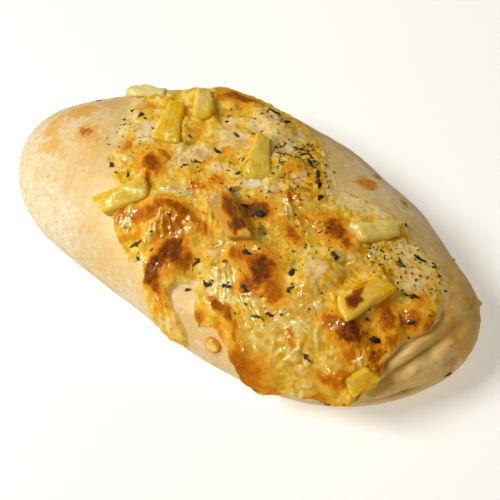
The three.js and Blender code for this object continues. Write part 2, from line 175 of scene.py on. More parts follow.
# Pineapple pieces: place on the crust, sizes, heading of the narrow end, ripeness (0 pale to 1
# deep yellow), how much cheese clings, then how it lies and is cut, and its browned spots
# (place on it, half length, half width, strength)
PINEAPPLE = [
    dict(at=(-41.4, 15.4), long=20, wide=11.6, narrow=5.4, thick=5.5, heading=110, ripe=1, cling=.2,
         pitch=7, roll=-12, slant=(.15, .3), slope=.2),
    dict(at=(-36.6, 28.6), long=17, wide=8.5, narrow=7.5, thick=6.5, heading=123, ripe=.25, cling=.8,
         roll=6, round=2),
    dict(at=(-40, -23.5), long=20, wide=10, narrow=8, thick=4.5, heading=230, ripe=.55, cling=.25,
         pitch=3, slant=(.2, -.4)),
    dict(at=(-2.8, 17.2), long=21, wide=12, narrow=5.4, thick=4.5, heading=114, ripe=.5, cling=.15,
         pitch=4, slant=(-.1, .3), slope=.15, browned=[(-3.5, 5, 2, 1.2, .6)]),
    dict(at=(1.2, -12.5), long=21, wide=9, narrow=7, thick=8, heading=328, ripe=.25, cling=.3,
         roll=-4, slant=(-.1, .7), slope=.3, dim=1,
         browned=[(0, 1.6, 9, 2.4, .9), (6, 1, 4, 3.2, 1), (-1, -2, 8, 3, .3)]),
    dict(at=(51.6, 13.8), long=18, wide=9, narrow=6, thick=5, heading=44, ripe=.2, cling=.3,
         slant=(-.5, .3), pale=.2),
    dict(at=(60.5, -12.5), long=21, wide=10.5, narrow=7.5, thick=6.5, heading=64, ripe=.95, cling=.4,
         roll=-6, slant=(.3, -.5),
         browned=[(-5.4, 0, 3.2, 3, .95), (-2.6, 2, 3.4, 1.4, .8), (1, 4, 5, .9, .5),
                  (0, 0, 12, 6, .14)]),
    dict(at=(73.4, -35.2), long=11, wide=9, narrow=7, thick=5, heading=64, ripe=1, cling=.3,
         slant=(.2, -.4), browned=[(0, 0, 7, 6, .22)]),
    dict(at=(-62, 27), long=17, wide=7.4, narrow=6, thick=3.5, heading=14, ripe=.25, cling=1.2,
         round=2.1, pale=.5),
]
PINEAPPLE_SUNK = 1
PINEAPPLE_BOW = 0.7
PINEAPPLE_CUTS = 30
# How uneven its faces are without cheese, how far its outline wanders, how far its top edge sinks
PINEAPPLE_UNEVEN = 0.35
PINEAPPLE_WANDER = 0.6
PINEAPPLE_EDGE_FALL = 0.5
SEAT_GAP = 0.3

# The drip: its place on the crust, and its form
DROP_BEARING = 281
DROP_REACH = 0.82
DROP_RADIUS = 3.4
DROP_HEIGHT = 1.5

# ---------------------------------------------------------------- where the colours lie
# Browned spots of the cheese: x, y, half length, half width, heading, strength
BROWNED_CHEESE = [
    (-53, -3.5, 4.4, 3, 0, .55), (-56, -13, 3.6, 2, 45, .5), (-38, -6, 4.6, 3.8, -20, .84),
    (-35, -14, 5, 1.5, -60, .8), (-36, 0, 4, 1.2, -10, .5), (-30, -26.5, 5, 3, 20, .66),
    (-37, -30, 4, 2, 60, .5), (-30, -34.5, 3.5, 1.8, 30, .45), (-24, -19.5, 5, 2.6, 25, .78),
    (-16, -18, 6, 2.8, 0, .76), (-7, -19.5, 6, 2.6, -15, .62), (-26, -24, 4, 3, 0, .7),
    (-15.5, -24, 5, 4.5, -40, .64), (-11, -32, 5.5, 5, 0, .97), (-5.5, -33, 3.5, 4, 0, .74),
    (-13, -37, 4.2, 2.4, 60, .9), (-13.5, -41.5, 2, 3.4, -20, .95), (-10, -44, 3, 1.6, -50, .8),
    (-7, -47, 5, 3.2, -50, .32), (-2, -51, 7, 3.6, -40, .16), (5, -55, 7, 3.6, -30, .22),
    (-32, 27, 1.2, 1.2, 30, .7), (-32, 16, 2.8, 2, 30, .3), (-32, 36, 3.2, 2.8, 30, .5),
    (-26, 41, 8, 4, 15, .84), (-57.6, 17.7, 5, 1.8, 30, .4), (-61, 30, 3.6, 1.2, 25, .45),
    (-57, 19, 3.2, 1.6, 30, .35),
    (-58, 7, 1.6, 1.6, 30, .4), (-17, 14, 2.4, 1.6, 30, .3), (-17, -6, 3.8, 2.4, 30, .5),
    (-12, 0, 3.4, 3, 0, .55), (9.4, -3.4, 5.4, 3.6, 20, .92), (17, 8, 4, 3.6, 30, .5),
    (38, 5.4, 5.8, 4.6, -20, .88), (44.7, 2, 3, 2, -40, .78), (25, -5, 4.6, 2, -30, .78),
    (10, -18, 3, 1.2, 30, .5), (10, 20, 4.4, 2.4, 30, .32), (13, 41, 2.4, 2.4, 30, .3),
    (14, -40.5, 4.2, 1.3, -10, .8), (20, -42, 4, 1.3, -40, .82), (25, -45, 3, 1.4, -50, .75),
    (9, -47.5, 3.6, 2.2, 30, .62), (18, -47, 3.6, 1.6, 60, .46), (22, -49, 3, 1.4, -40, .5),
    (31, -52, 5.4, 4.6, -20, .7), (37, -53.5, 6.4, 4.8, -20, .62), (46, -54, 5, 3, -10, .42),
    (22.5, -23.5, 6.6, 5.6, -60, .98), (14, -22, 6, 2.8, 10, .64), (21.5, -30.5, 4.4, 3.4, 0, .78),
    (31, -28, 5, 4, -50, .68), (61.5, -25.5, 6.2, 5, -10, .98), (54.5, -26.5, 4, 2.6, 10, .7),
    (71, -13.5, 5, 3.4, -75, .78), (76.5, -19.5, 3.6, 3, 65, .66), (74, -27, 4.4, 2, 60, .72),
    (76.5, -29.5, 2.2, 1.4, 60, .85), (63.5, -41, 6, 1.8, 20, .66), (67, -37.5, 4.6, 1.6, 25, .56),
    (65.5, -32.3, 2.6, 2.2, 0, .6), (62, -47, 5, 1.4, 25, .46), (44, -38, 4.4, 1.2, -50, .52),
    (78, -10, 4.8, 4, 65, .72), (78, 0, 4.4, 3.2, 65, .42), (85, -7, 2.8, 2.4, 75, .7),
    (25, 3, 3.2, 2.4, 30, .4), (31, 9, 2.8, 2.4, 30, .36), (72, -24, 4, 3.2, 30, .4),
    (-27, -32, 3.2, 2.4, -75, .4), (2, -24, 3, 1.4, 30, .4),
]
# Pale creamy places, deep yellow places and places where the cheese is a thin film
CREAMY_CHEESE = [
    (-50, 9, 3.6, 3.2, 30, .8), (1, 5, 5.6, 2, 30, .9), (-5, 38, 11.2, 2, 5, .9),
    (-25, 8, 6.4, 4, 30, .5), (-22, 26, 4, 3.2, 30, .5), (14, 18, 4, 3.2, -60, .3),
    (39, -13, 4.8, 4, -40, .5), (77, -1, 2.8, 2, 30, .6), (71, -14, 2, 1.6, -60, .6),
    (67, -30, 3.2, 3.2, 30, .5), (65, 16, 7.2, 4, 30, .35), (71, 5, 6.4, 5.6, 30, .3),
    (-2, 23, 8, 4.8, 30, .4), (-22, -11, 5.6, 3.2, 30, .35), (7, -24, 7.2, 2.4, 30, .4),
    (43, 4, 1.6, 1.6, 30, .9), (54, -51, 4, 1.6, 30, .3), (-24, -22, 5.6, 2.4, -65, .3),
    (-48, 4, 5, 4, 30, .7),
    (-17, 20, 7, 5, 30, .45), (-10, 32, 8, 4, 10, .5), (0, 31, 7, 4, 10, .5), (-30, 3, 5, 4, 0, .45),
    (8, 8, 5, 3, 20, .4), (-13, 5, 5, 4, 30, .4),
]
# Deep yellow places are partly the cheese's own colour and partly painted shade, on the centre and on
# slopes turned from the key lamp
DEEP_CHEESE = [
    (50, -40, 18, 12, 10, .25), (41, -50, 8, 8, 30, .6), (76, -39, 7.2, 3.2, 55, .6),
    (43, -15, 8, 6.4, 30, .5), (11, -28, 8.8, 3.2, 30, .5), (-17, -25, 10, 8, 30, .5),
    (41, -26, 8, 6.4, 30, .6), (77, -17, 8, 4, 65, .6), (-6, -15, 5.6, 5.6, 30, .4),
    (73, -41, 8, 4, 30, .6), (-2, 1, 3.2, 2.4, 30, .3), (36, 4, 6.4, 5.6, 30, .4),
    (20, 1, 5.6, 4, 30, .4), (67, -8, 5.6, 2.4, 75, .6), (-17, 38, 9.6, 3.2, 10, .4),
    (18, 20, 12, 9, -40, .65), (14, 4, 10, 6, 30, .55), (56, 0, 8, 5, 30, .4), (30, 4, 9, 7, 30, .5),
    (-8, -6, 8, 6, 0, .45), (-19, 0, 6, 5, 0, .35),
]
THIN_CHEESE = [
    (-61, 1, 8.8, 6.4, -60, .8), (-53, -15, 4.8, 3.2, 30, .7), (-62, 17, 6.4, 3.2, 30, .5),
    (70, 11, 12.8, 10.4, -30, .42), (35, 21, 11.2, 4.8, 10, .6), (16, 40, 8, 4, -40, .5),
    (-21, -42, 4.8, 4, -60, .9), (1, -39.6, 4, 1.8, 30, .8), (49, 24, 7.2, 3.2, 10, .5),
    (-27, -4, 4, 3.2, 30, .2),
]
# Shiny wrinkled places of the cheese
WRINKLED_CHEESE = [
    (-34, -29, 5, 4, 60, 1), (-21, -26, 7, 5, 60, 1), (-13, -22, 6, 5, 60, 1), (-26, -13, 4, 2, 30, .8),
    (-17, -8, 5, 2.4, 30, .9), (-51, -10, 3.4, 3, 30, .9), (-56, -16, 3, 2.4, 30, .8),
    (19, 4, 6, 3.4, -60, .85), (30, 1, 5, 4, 30, .8), (48, -4, 5, 4, 30, 1), (56, 5, 3, 3, 30, 1),
    (44, -23, 7, 5, -10, 1), (56, -27, 5, 3, 30, .9), (11, -35, 8, 6, -60, .8), (28, -34, 8, 5, 30, .9),
    (-13, -38, 5, 4, 60, .8), (-3, -51, 9, 4, -40, .7), (62, -38, 8, 5, 30, .8), (69, -29, 6, 5, 30, .8),
    (47, -42, 9, 5, -10, .8), (58, -46, 8, 4, 30, .7), (30, -44, 6, 5, -40, .8), (41, -34, 8, 5, 30, .8),
    (-32, 36, 4, 3, 30, .6), (4, -22, 6, 3, 30, .7), (76, -12, 5, 5, 60, .8), (18, -15, 5, 4, 30, .6),
]
# Herbs that lie under the cheese and show through it
STAINED_CHEESE = [
    (7, -5, 5.6, 3.6, 30, .8), (-31, 10, 2.4, 2, -60, .6), (19, 14, 4, 1.6, 10, .6),
    (24, -2, 3.2, 1.2, 30, .6), (30, 0, 3.2, 2.8, 30, .45), (15, -10, 3.2, 2.4, -60, .8),
    (-4, -25, 3.6, 2, -60, .6), (-17, -10, 2.4, 1.6, 30, .6), (45, -4, 4, 3.2, 30, .6),
    (52, 6, 2.8, 2, -60, .6), (64, -18, 2.8, 2.4, -60, .5), (13, -35, 2.8, 2.4, 30, .6),
    (20, -32, 2.4, 2.4, 30, .5), (32, -16, 3.2, 2.4, -60, .6), (36, -24, 3.2, 1.6, -60, .5),
    (1, -38, 2.4, 2.4, 30, .5), (-6, 8, 2.4, 1.6, -60, .6), (-3, 0, 3.6, 2, 55, .8),
    (17, 28, 6.4, 3.2, -40, .35), (-3, -36, 3.2, 1.6, -60, .5), (27, -36, 3.2, 2, 30, .3),
    (7, 31, 4, 1.6, 30, .3),
]
# Toasted spots of the crust: x, y, half length, half width, heading, strength
TOASTED_CRUST = [
    (-71, -4, 3.0, 2.8, 30, 1), (-70, -4, 7, 6, 30, .5), (-81, 6, 9, 6, 35, .5), (-88, 0, 6, 4, 60, .42),
    (-86, -7, 6, 5, 60, .44), (-82, -14, 6, 5, 30, .4), (-75, -15, 5, 4, 0, .4),
    (-64, -7, 7, 6, 30, .38), (-66, -26, 7, 1.4, -62, .35), (-75, -26, 1.4, .8, 30, .85),
    (36, 34, 5.2, 4, 10, .75), (36, 43, 2.4, 2, 30, .7), (52, 36, 2.8, 1.2, -15, .7),
    (92, 13, 2.4, .9, -60, .6), (96, -6, 1.2, .7, -60, .55), (94, -8, .8, .6, 0, .5),
    (97, -4, .7, .5, 0, .5),
    (86, -14, 6, 1.2, 66, .4), (90, -23.5, 4, .7, 66, .6), (100, -11, 1.2, .8, 30, .6),
    (-45, -35, 6, 4, 30, .32), (-35, -41, 6, 4, 30, .28), (-67, -16, 5, 5, 30, .35),
    # The broad spot at x 97, y 0 over the +X end is partly toast and partly painted shade where the end
    # turns from the key lamp
    (-60, -12, 5, 5, 30, .32), (97, 0, 7, 14, 80, .42), (-77, 25, 5, 3, 30, .35),
    (23, 39, 2.4, 1.6, 30, .3),
    (-72, 16, 8, 5, 30, .35), (-56, -22, 6, 4, 0, .3), (90, 2, 7, 3, 75, .35), (-48, -28, 3, 2, 0, .3),
    (0, -51, 5, 3, -30, .3), (86, -28, 4, 2, 60, .3),
]

# ---------------------------------------------------------------- herbs
# The largest flakes: x, y, length, width, heading
HERB_FLAKES = [
    (-25, -35, 5, 2.4, 35), (14.3, -20.5, 3, 2.6, 0), (25.6, 14.7, 3, 2, 60),
    (65, 7.5, 3.6, 2.4, 0), (69.6, 14.5, 5, 1.5, 5), (75.3, -0.6, 4.6, 2.6, 10),
    (71.5, -22.5, 4, 2.6, 20), (-52, -13.2, 3, 1.8, -40), (-10.5, 38.5, 4.4, 1.6, 10),
    (-5.5, 42.5, 3, 2, 60), (33, -18.8, 3.6, 2.4, 80), (35.3, -24.2, 3, 2, 60),
    (9.5, 30.6, 3.6, 1.6, 30), (14, 27.4, 3, 1.6, -50), (19.5, 23.8, 3.4, 1.6, -60),
    (22.6, 18.9, 3, 1.6, -80), (10.5, -4.4, 4.4, 3, 30), (-1, -32.2, 3.4, 1.8, 70),
    (14, -34.4, 3.4, 2.2, 20), (20.5, -32, 3, 2, -20), (30, -38, 3, 1.6, 10),
    (33.5, -35.4, 3, 1.4, 0), (52.5, -40.6, 2.8, 2, 0), (79, -10, 3.4, 2, 30),
    (-19, 12, 2.8, 1.8, 0), (-23.5, 4, 3.2, 1.8, 20), (-56, 13, 3, 1.6, 60),
    (-17, 22.5, 2.6, 1.8, 0), (42.5, -4.5, 2.8, 2, 0), (7, -37, 2.8, 1.8, 20),
]
# Smaller flakes that stand out one by one: x, y, length, width, heading
SMALL_FLAKES = [
    (58, 26.4, 2.4, 1, -60), (79, 12.6, 2, .9, 30), (-32, 12.2, 1.6, 1.2, 0), (-26.4, .2, 2.2, 1.2, 20),
    (-52.9, 11.7, 2, 1.1, -60), (-43.3, -14.6, 2.6, 1.1, -60), (-6.1, 6.5, 2.6, 2, 30),
    (-4.6, -1.7, 2.6, 1.1, -70), (5.9, 30.6, 1.8, 1, 30), (7.5, 31.9, 1.6, 1.1, 30),
    (16.1, 26.5, 1.8, 1.4, 0), (3.8, -4.8, 3, 2.2, 30), (-17.3, -34.6, 1.6, 1.2, 20),
    (-22.5, -38.8, 2, 1.4, -60), (.7, -41.3, 2.8, 1.2, 30), (65, -18.3, 1.8, 1.4, 0),
    (81, -14.7, 1.2, 1, 0), (83, -4.4, 2, 1, 30), (75.5, 14.7, 1.4, .9, 30), (83.9, 9.8, 1.4, .8, 30),
    (-7.3, -3.8, 1.5, 1.2, 0), (-23.8, 26.4, 1.8, 1, 30), (-11.1, 26.4, 1.1, .9, 0),
    (18.7, -51.4, 1.1, .9, 0), (8, -34.8, 1.1, .9, 0), (24, -36.3, 1.1, .9, 0), (37.4, -33.3, 1.2, .9, 0),
    (-38.6, 20.7, 1.1, .9, 0), (-60.8, 8.2, 1.2, .9, 0), (-60.9, 13.9, 1.6, 1, 30),
    (-47.8, -15.9, 1.1, .9, 0), (5.4, 18.9, 2, 1, 30), (23.4, 30.3, 1.1, .9, 0), (70.7, -42.5, 1, .8, 0),
    (79, 31, 2.4, 1, 70), (101, -13, 3, 1.4, 60), (90, 27, 1.6, 1.1, 0), (67, -46, 3.4, 1.4, 20),
    (-81, 17, 3, .6, 20), (64, -47, 1.6, 1.2, 60),
]
# Where fine herb specks lie: x, y, half length, half width, heading, count
SPECK_FIELDS = [
    (5, 28, 22, 11, -20, 50), (-3, 2, 26, 16, 20, 120), (24, -8, 22, 12, 20, 70), (66, 8, 16, 12, 0, 130),
    (-52, 8, 12, 20, 0, 45), (18, -34, 22, 8, 0, 50), (-15, 34, 20, 8, 0, 35), (60, -24, 18, 14, 0, 40),
    (-22, -30, 12, 10, 0, 25), (15, 20, 14, 12, 0, 35),
    (7.5, 32.5, 4, .8, 22, 26), (14, 30, 4.5, .9, -28, 30), (20.5, 21.5, 4.5, .8, -58, 26),
    (0, 28, 3.5, 1, 77, 20), (4.5, 23.5, 4.5, .8, 10, 18), (9.5, 37.5, 2.5, 1, 25, 10),
]


# ---------------------------------------------------------------- number helpers
def smooth(value, low=0.0, high=1.0):
    """An even step from 0 at low to 1 at high."""
    share = np.clip((value - low) / (high - low), 0, 1)
    return share * share * (3 - 2 * share)


def scramble(cells, seed):
    """A repeatable random number from -1 to 1 for each whole-number cell."""
    bits = cells.astype(np.int64).astype(np.uint32)
    mixed = bits[..., 0] * np.uint32(0x9E3779B1)
    mixed ^= bits[..., 1] * np.uint32(0x85EBCA77)
    mixed ^= bits[..., 2] * np.uint32(0xC2B2AE3D)
    mixed ^= np.uint32(seed * 7919 + 13)
    for shift, factor in ((15, 0x2C1B3C6D), (12, 0x297A2D39)):
        mixed ^= mixed >> np.uint32(shift)
        mixed *= np.uint32(factor)
    mixed ^= mixed >> np.uint32(15)
    return mixed / 2.0 ** 31 - 1


def hills(places, size, seed):
    """Smooth random hills and dips from about -1 to 1, size apart. size may be one per axis."""
    scaled = places / np.array(size, float)
    low = np.floor(scaled)
    part = scaled - low
    ease = part ** 3 * (part * (part * 6 - 15) + 10)
    total = np.zeros(len(places))
    for corner in itertools.product((0, 1), repeat=3):
        step = np.array(corner)
        offset = part - step
        slope = sum(scramble(low + step, 3 * seed + axis) * offset[:, axis] for axis in range(3))
        total += slope * np.prod(np.where(step == 1, ease, 1 - ease), axis=1)
    return 1.6 * total


def layered(places, size, seed, layers=3):
    """Hills with finer hills on them."""
    total = np.zeros(len(places))
    for layer in range(layers):
        total += hills(places, np.array(size, float) / 2 ** layer, seed + layer) / 2 ** layer
    return total / 1.5


def ridges(places, size, seed, narrow=2.2):
    """Sharp winding ridges: 1 on a ridge, falling to 0 between ridges."""
    return 1 - np.minimum(1, narrow * np.abs(hills(places, size, seed)))


def domes(places, size, seed):
    """Rounded blobs with creases between them: 0 in a crease, up to 1 on a blob."""
    return smooth(1.8 * np.abs(hills(places, size, seed)))


def turned(places, heading):
    """Places in plan as seen along a heading, in degrees."""
    angle = math.radians(heading)
    x, y = places[:, 0], places[:, 1]
    along = x * math.cos(angle) + y * math.sin(angle)
    across = y * math.cos(angle) - x * math.sin(angle)
    return np.stack([along, across, places[:, 2]], axis=1)


def spots(places, table, seed, ragged=1.5, reach=1.4):
    """How strongly each place lies in one of some ragged oval spots."""
    wander = [layered(places, 4.5, seed + shift) for shift in (0, 40)]
    moved = places + ragged * np.stack([*wander, 0 * wander[0]], axis=1)
    crumbly = 0.16 * ragged * hills(places, 1.7, seed + 80)
    strongest = np.zeros(len(places))
    for x, y, half, side, heading, strength in table:
        local = turned(moved - np.array([x, y, 0]), heading)
        away = np.hypot(local[:, 0] / half, local[:, 1] / side) + crumbly
        strongest = np.maximum(strongest, strength * smooth(reach - away, 0, 0.9))
    return strongest


def line_distance(points, start, end):
    """How far points lie from a line between two ends."""
    along = np.array(end, float) - start
    offset = points - np.array(start, float)
    share = np.clip(offset @ along / (along @ along), 0, 1)
    return np.linalg.norm(offset - share[:, None] * along, axis=1)


def outline_depth(x, y, outline):
    """How far inside a closed outline each place is; less than 0 outside it."""
    points = np.stack([x, y], axis=1)
    away = np.full(len(x), np.inf)
    inside = np.zeros(len(x), bool)
    for (ax, ay), (bx, by) in zip(outline, outline[1:] + outline[:1]):
        away = np.minimum(away, line_distance(points, (ax, ay), (bx, by)))
        if ay != by:
            crosses = (ay > y) != (by > y)
            inside ^= crosses & (x < (bx - ax) * (y - ay) / (by - ay) + ax)
    return np.where(inside, away, -away)


# ---------------------------------------------------------------- the crust as a formula
def round_table(values, share):
    """A smooth closed curve through even steps of a list, for a share of a full turn."""
    table = np.array(values)
    place = np.mod(share, 1) * len(table)
    step = np.floor(place).astype(int)
    f = place - step
    a, b, c, d = (table[(step + k) % len(table)] for k in (-1, 0, 1, 2))
    bend = 2 * a - 5 * b + 4 * c - d
    return b + 0.5 * f * (c - a + f * (bend + f * (3 * (b - c) + d - a)))


def read_round(pairs, bearing):
    stops = np.array(pairs, float)
    return np.interp(np.mod(bearing, 360), stops[:, 0], stops[:, 1], period=360)


def plain_crust(bearing, reach):
    """The smooth loaf, before waves and creases."""
    angle = np.radians(bearing)
    full = round_table(FULLNESS, bearing / 360)
    share = np.sin(np.minimum(reach, 1) * 0.5 * np.pi)
    dome = np.sqrt(np.maximum(0, 1 - share ** DOME_POWER))
    tuck = np.clip(reach - 1, 0, 1) * 0.5 * np.pi
    out = np.where(reach > 1, FOOT_SHARE + (1 - FOOT_SHARE) * np.cos(tuck), share)
    out = np.where(reach > 2, FOOT_SHARE * (3 - reach), out)
    height = WIDEST_LEVEL + (LOAF_HEIGHT - WIDEST_LEVEL) * dome
    height = np.where(reach > 1, WIDEST_LEVEL * (1 - np.sin(tuck)), height)
    height = np.where(reach > 2, 0, height)
    x = 0.5 * LOAF_LENGTH * full * out * np.cos(angle)
    y = 0.5 * LOAF_WIDTH * full * out * np.sin(angle)
    return np.stack([x, y, height], axis=1)


def crust_normal(bearing, reach):
    """The direction straight out of the smooth loaf."""
    step = 0.004
    at = np.clip(reach, step, None)
    around = plain_crust(bearing + 0.5, at) - plain_crust(bearing - 0.5, at)
    down = plain_crust(bearing, np.minimum(at + step, 2)) - plain_crust(bearing, at - step)
    out = np.cross(down, around)
    out[reach < 0.01] = (0, 0, 1)
    out[reach >= 2 - step] = (0, 0, -1)
    return out / np.linalg.norm(out, axis=1)[:, None]


def crust(bearing, reach, lift=0.0):
    """The real crust with its waves and creases, raised by lift along its normal."""
    bearing, reach = np.broadcast_arrays(np.asarray(bearing, float), np.asarray(reach, float))
    point = plain_crust(bearing, reach)
    x, y, z = point.T
    long = np.sin(x / LONG_WAVE[0] + 0.7) * np.cos(y / LONG_WAVE[1] - 0.4)
    short = np.sin(x / SHORT_WAVE[0] - y / SHORT_WAVE[1] + z / SHORT_WAVE[2])
    rise = CRUST_WAVE * (long + SHORT_WAVE_SHARE * short)
    for start, end, half, depth in END_CREASES:
        rise -= depth * np.exp(-((line_distance(point, start, end) / half) ** 2))
    rise *= np.clip(2 - reach, 0, 1)
    return point + crust_normal(bearing, reach) * (rise + lift)[:, None]


def place_on_dome(x, y):
    """The bearing and reach on the dome of a place in plan."""
    x, y = np.atleast_1d(np.asarray(x, float)), np.atleast_1d(np.asarray(y, float))
    bearing = np.degrees(np.arctan2(y / (0.5 * LOAF_WIDTH), x / (0.5 * LOAF_LENGTH)))
    share = np.hypot(x / (0.5 * LOAF_LENGTH), y / (0.5 * LOAF_WIDTH))
    share = share / round_table(FULLNESS, bearing / 360)
    return bearing, np.arcsin(np.minimum(share, 1)) / (0.5 * np.pi)


# ---------------------------------------------------------------- mesh helpers
def take(*pieces):
    """Selects only these pieces and makes the last one active."""
    bpy.ops.object.select_all(action="DESELECT")
    for piece in pieces:
        piece.select_set(True)
    bpy.context.view_layer.objects.active = pieces[-1]


def new_piece(name, add, **settings):
    """Adds a primitive on its own and names it."""
    bpy.ops.object.select_all(action="DESELECT")
    add(**settings)
    piece = bpy.context.active_object
    piece.name = name
    return piece


def in_edit_mode(piece, *steps):
    """Runs steps on the whole of a piece in edit mode."""
    take(piece)
    bpy.ops.object.mode_set(mode="EDIT")
    bpy.ops.mesh.select_all(action="SELECT")
    for step in steps:
        step()
    bpy.ops.object.mode_set(mode="OBJECT")


def read_points(piece):
    flat = np.zeros(3 * len(piece.data.vertices))
    piece.data.vertices.foreach_get("co", flat)
    return flat.reshape(-1, 3)


def write_points(piece, points):
    """Moves the vertices of a piece to places given in millimetres."""
    piece.data.vertices.foreach_set("co", (np.asarray(points) * MM).ravel())
    piece.data.update()


def put_mask(piece, name, values):
    """Stores one number for each vertex, which the finish reads."""
    mask = piece.data.attributes.new(name, "FLOAT", "POINT")
    mask.data.foreach_set("value", np.ascontiguousarray(values, np.float32))


def put_places(piece, name, points):
    """Stores one place for each vertex, which the finish reads."""
    mask = piece.data.attributes.new(name, "FLOAT_VECTOR", "POINT")
    mask.data.foreach_set("vector", np.ascontiguousarray(points, np.float32).ravel())


def finish_piece(piece, finish, nodes=()):
    """Gives a piece its finish and fits it to the frame."""
    take(piece)
    bpy.ops.object.shade_smooth()
    piece.data.materials.clear()
    piece.data.materials.append(finish)
    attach(piece, BODY)
    if nodes:
        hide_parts(*nodes)
    return piece


# ---------------------------------------------------------------- finishes
def shade(red, green, blue):
    """A colour given from 0 to 255 as it looks, in the renderer's own terms."""
    parts = [channel / 255 for channel in (red, green, blue)]
    return [c / 12.92 if c <= 0.04045 else ((c + 0.055) / 1.055) ** 2.4 for c in parts] + [1]


WET_SPECULAR = 0.9


class Wire:
    """A socket that takes part in sums, which lay down Math nodes."""

    def __init__(self, finish, socket):
        self.finish = finish
        self.socket = socket

    def sum(self, operation, first, second, clamp=False):
        settings = {"operation": operation, "use_clamp": clamp}
        return self.finish.node("ShaderNodeMath", settings, {0: first, 1: second})

    def __add__(self, other):
        return self.sum("ADD", self, other)

    def __radd__(self, other):
        return self.sum("ADD", other, self)

    def __sub__(self, other):
        return self.sum("SUBTRACT", self, other)

    def __rsub__(self, other):
        return self.sum("SUBTRACT", other, self)

    def __mul__(self, other):
        return self.sum("MULTIPLY", self, other)

    def __rmul__(self, other):
        return self.sum("MULTIPLY", other, self)

    def size(self):
        return self.sum("ABSOLUTE", self, 0.0)

    def held(self):
        """The same value kept between 0 and 1."""
        return self.sum("ADD", self, 0.0, clamp=True)


class Finish:
    """A material while its nodes are laid down."""

    def __init__(self, name, constants):
        self.material = bpy.data.materials.new(name)
        self.material.use_nodes = True
        self.tree = self.material.node_tree
        self.shader = self.tree.nodes["Principled BSDF"]
        self.constants = constants
        for socket, value in constants.items():
            self.shader.inputs[socket].default_value = value

    def node(self, kind, settings, sockets, output=0):
        """Adds a node: its settings first, then the values or links of its sockets."""
        made = self.tree.nodes.new(kind)
        for name, value in settings.items():
            if name == "stops":
                self.set_stops(made.color_ramp, value)
            else:
                setattr(made, name, value)
        for name, value in sockets.items():
            if isinstance(value, Wire):
                self.tree.links.new(value.socket, made.inputs[name])
            else:
                made.inputs[name].default_value = value
        return Wire(self, made.outputs[output])

    @staticmethod
    def set_stops(ramp, stops):
        while len(ramp.elements) < len(stops):
            ramp.elements.new(0.5)
        for element, (place, colour) in zip(ramp.elements, stops):
            element.position = place
            element.color = colour

    def object_place(self):
        return self.node("ShaderNodeTexCoord", {}, {}, "Object")

    def mask(self, name, output="Fac"):
        settings = {"attribute_type": "GEOMETRY", "attribute_name": name}
        return self.node("ShaderNodeAttribute", settings, {}, output)

    def own_place(self, name):
        return self.mask(name, "Vector")

    def stretched(self, place, scale):
        return self.node("ShaderNodeVectorMath", {"operation": "MULTIPLY"}, {0: place, 1: scale})

    def grain(self, place, size, detail=3.0, roughness=0.55):
        """Noise whose features are about size millimetres apart."""
        sockets = {"Vector": place, "Scale": 1 / (size * MM), "Detail": detail}
        sockets["Roughness"] = roughness
        return self.node("ShaderNodeTexNoise", {}, sockets, "Fac")

    def crinkled(self, place, size):
        """Sharp winding creases about size millimetres apart: 1 on a crease."""
        return (1 - (self.grain(place, size, 2) - 0.5).size() * 9).held()

    def window(self, value, low, high):
        """0 up to low, 1 from high, smooth between them."""
        sockets = {"Value": value, "From Min": low, "From Max": high}
        return self.node("ShaderNodeMapRange", {"interpolation_type": "SMOOTHSTEP"}, sockets)

    def blend(self, share, first, second):
        settings = {"data_type": "RGBA", "clamp_factor": True}
        return self.node("ShaderNodeMix", settings, {0: share, 6: first, 7: second}, 2)

    def coats(self, colour, *coats):
        """Lays coats over a colour, each the share of the surface that it covers and its colour."""
        for share, coat in coats:
            colour = self.blend(share, colour, coat)
        return colour

    def ramp(self, value, *stops):
        """Colours along a value: each stop is its place, then its red, green and blue as it looks."""
        stops = [(place, shade(*colour)) for place, *colour in stops]
        return self.node("ShaderNodeValToRGB", {"stops": stops}, {"Fac": value}, "Color")

    def relief(self, height, depth, strength=1.0):
        """Fine relief for the Normal socket, depth in millimetres."""
        sockets = {"Height": height, "Distance": depth * MM, "Strength": strength}
        return self.node("ShaderNodeBump", {}, sockets, "Normal")

    def feed(self, **sockets):
        """Links wires to the shader's own sockets."""
        for name, wire in sockets.items():
            self.tree.links.new(wire.socket, self.shader.inputs[name.replace("_", " ")])
        return self.material

    def glaze(self, share, roughness, colour, normal):
        """Mixes in a wet copy of the shader where share is 1."""
        sockets = {**self.constants, "Specular IOR Level": WET_SPECULAR, "Roughness": roughness}
        sockets.update({"Base Color": colour, "Normal": normal})
        wet = self.node("ShaderNodeBsdfPrincipled", {}, sockets)
        dry = Wire(self, self.shader.outputs["BSDF"])
        mixed = self.node("ShaderNodeMixShader", {}, {0: share, 1: dry, 2: wet})
        self.tree.links.new(mixed.socket, self.tree.nodes["Material Output"].inputs["Surface"])


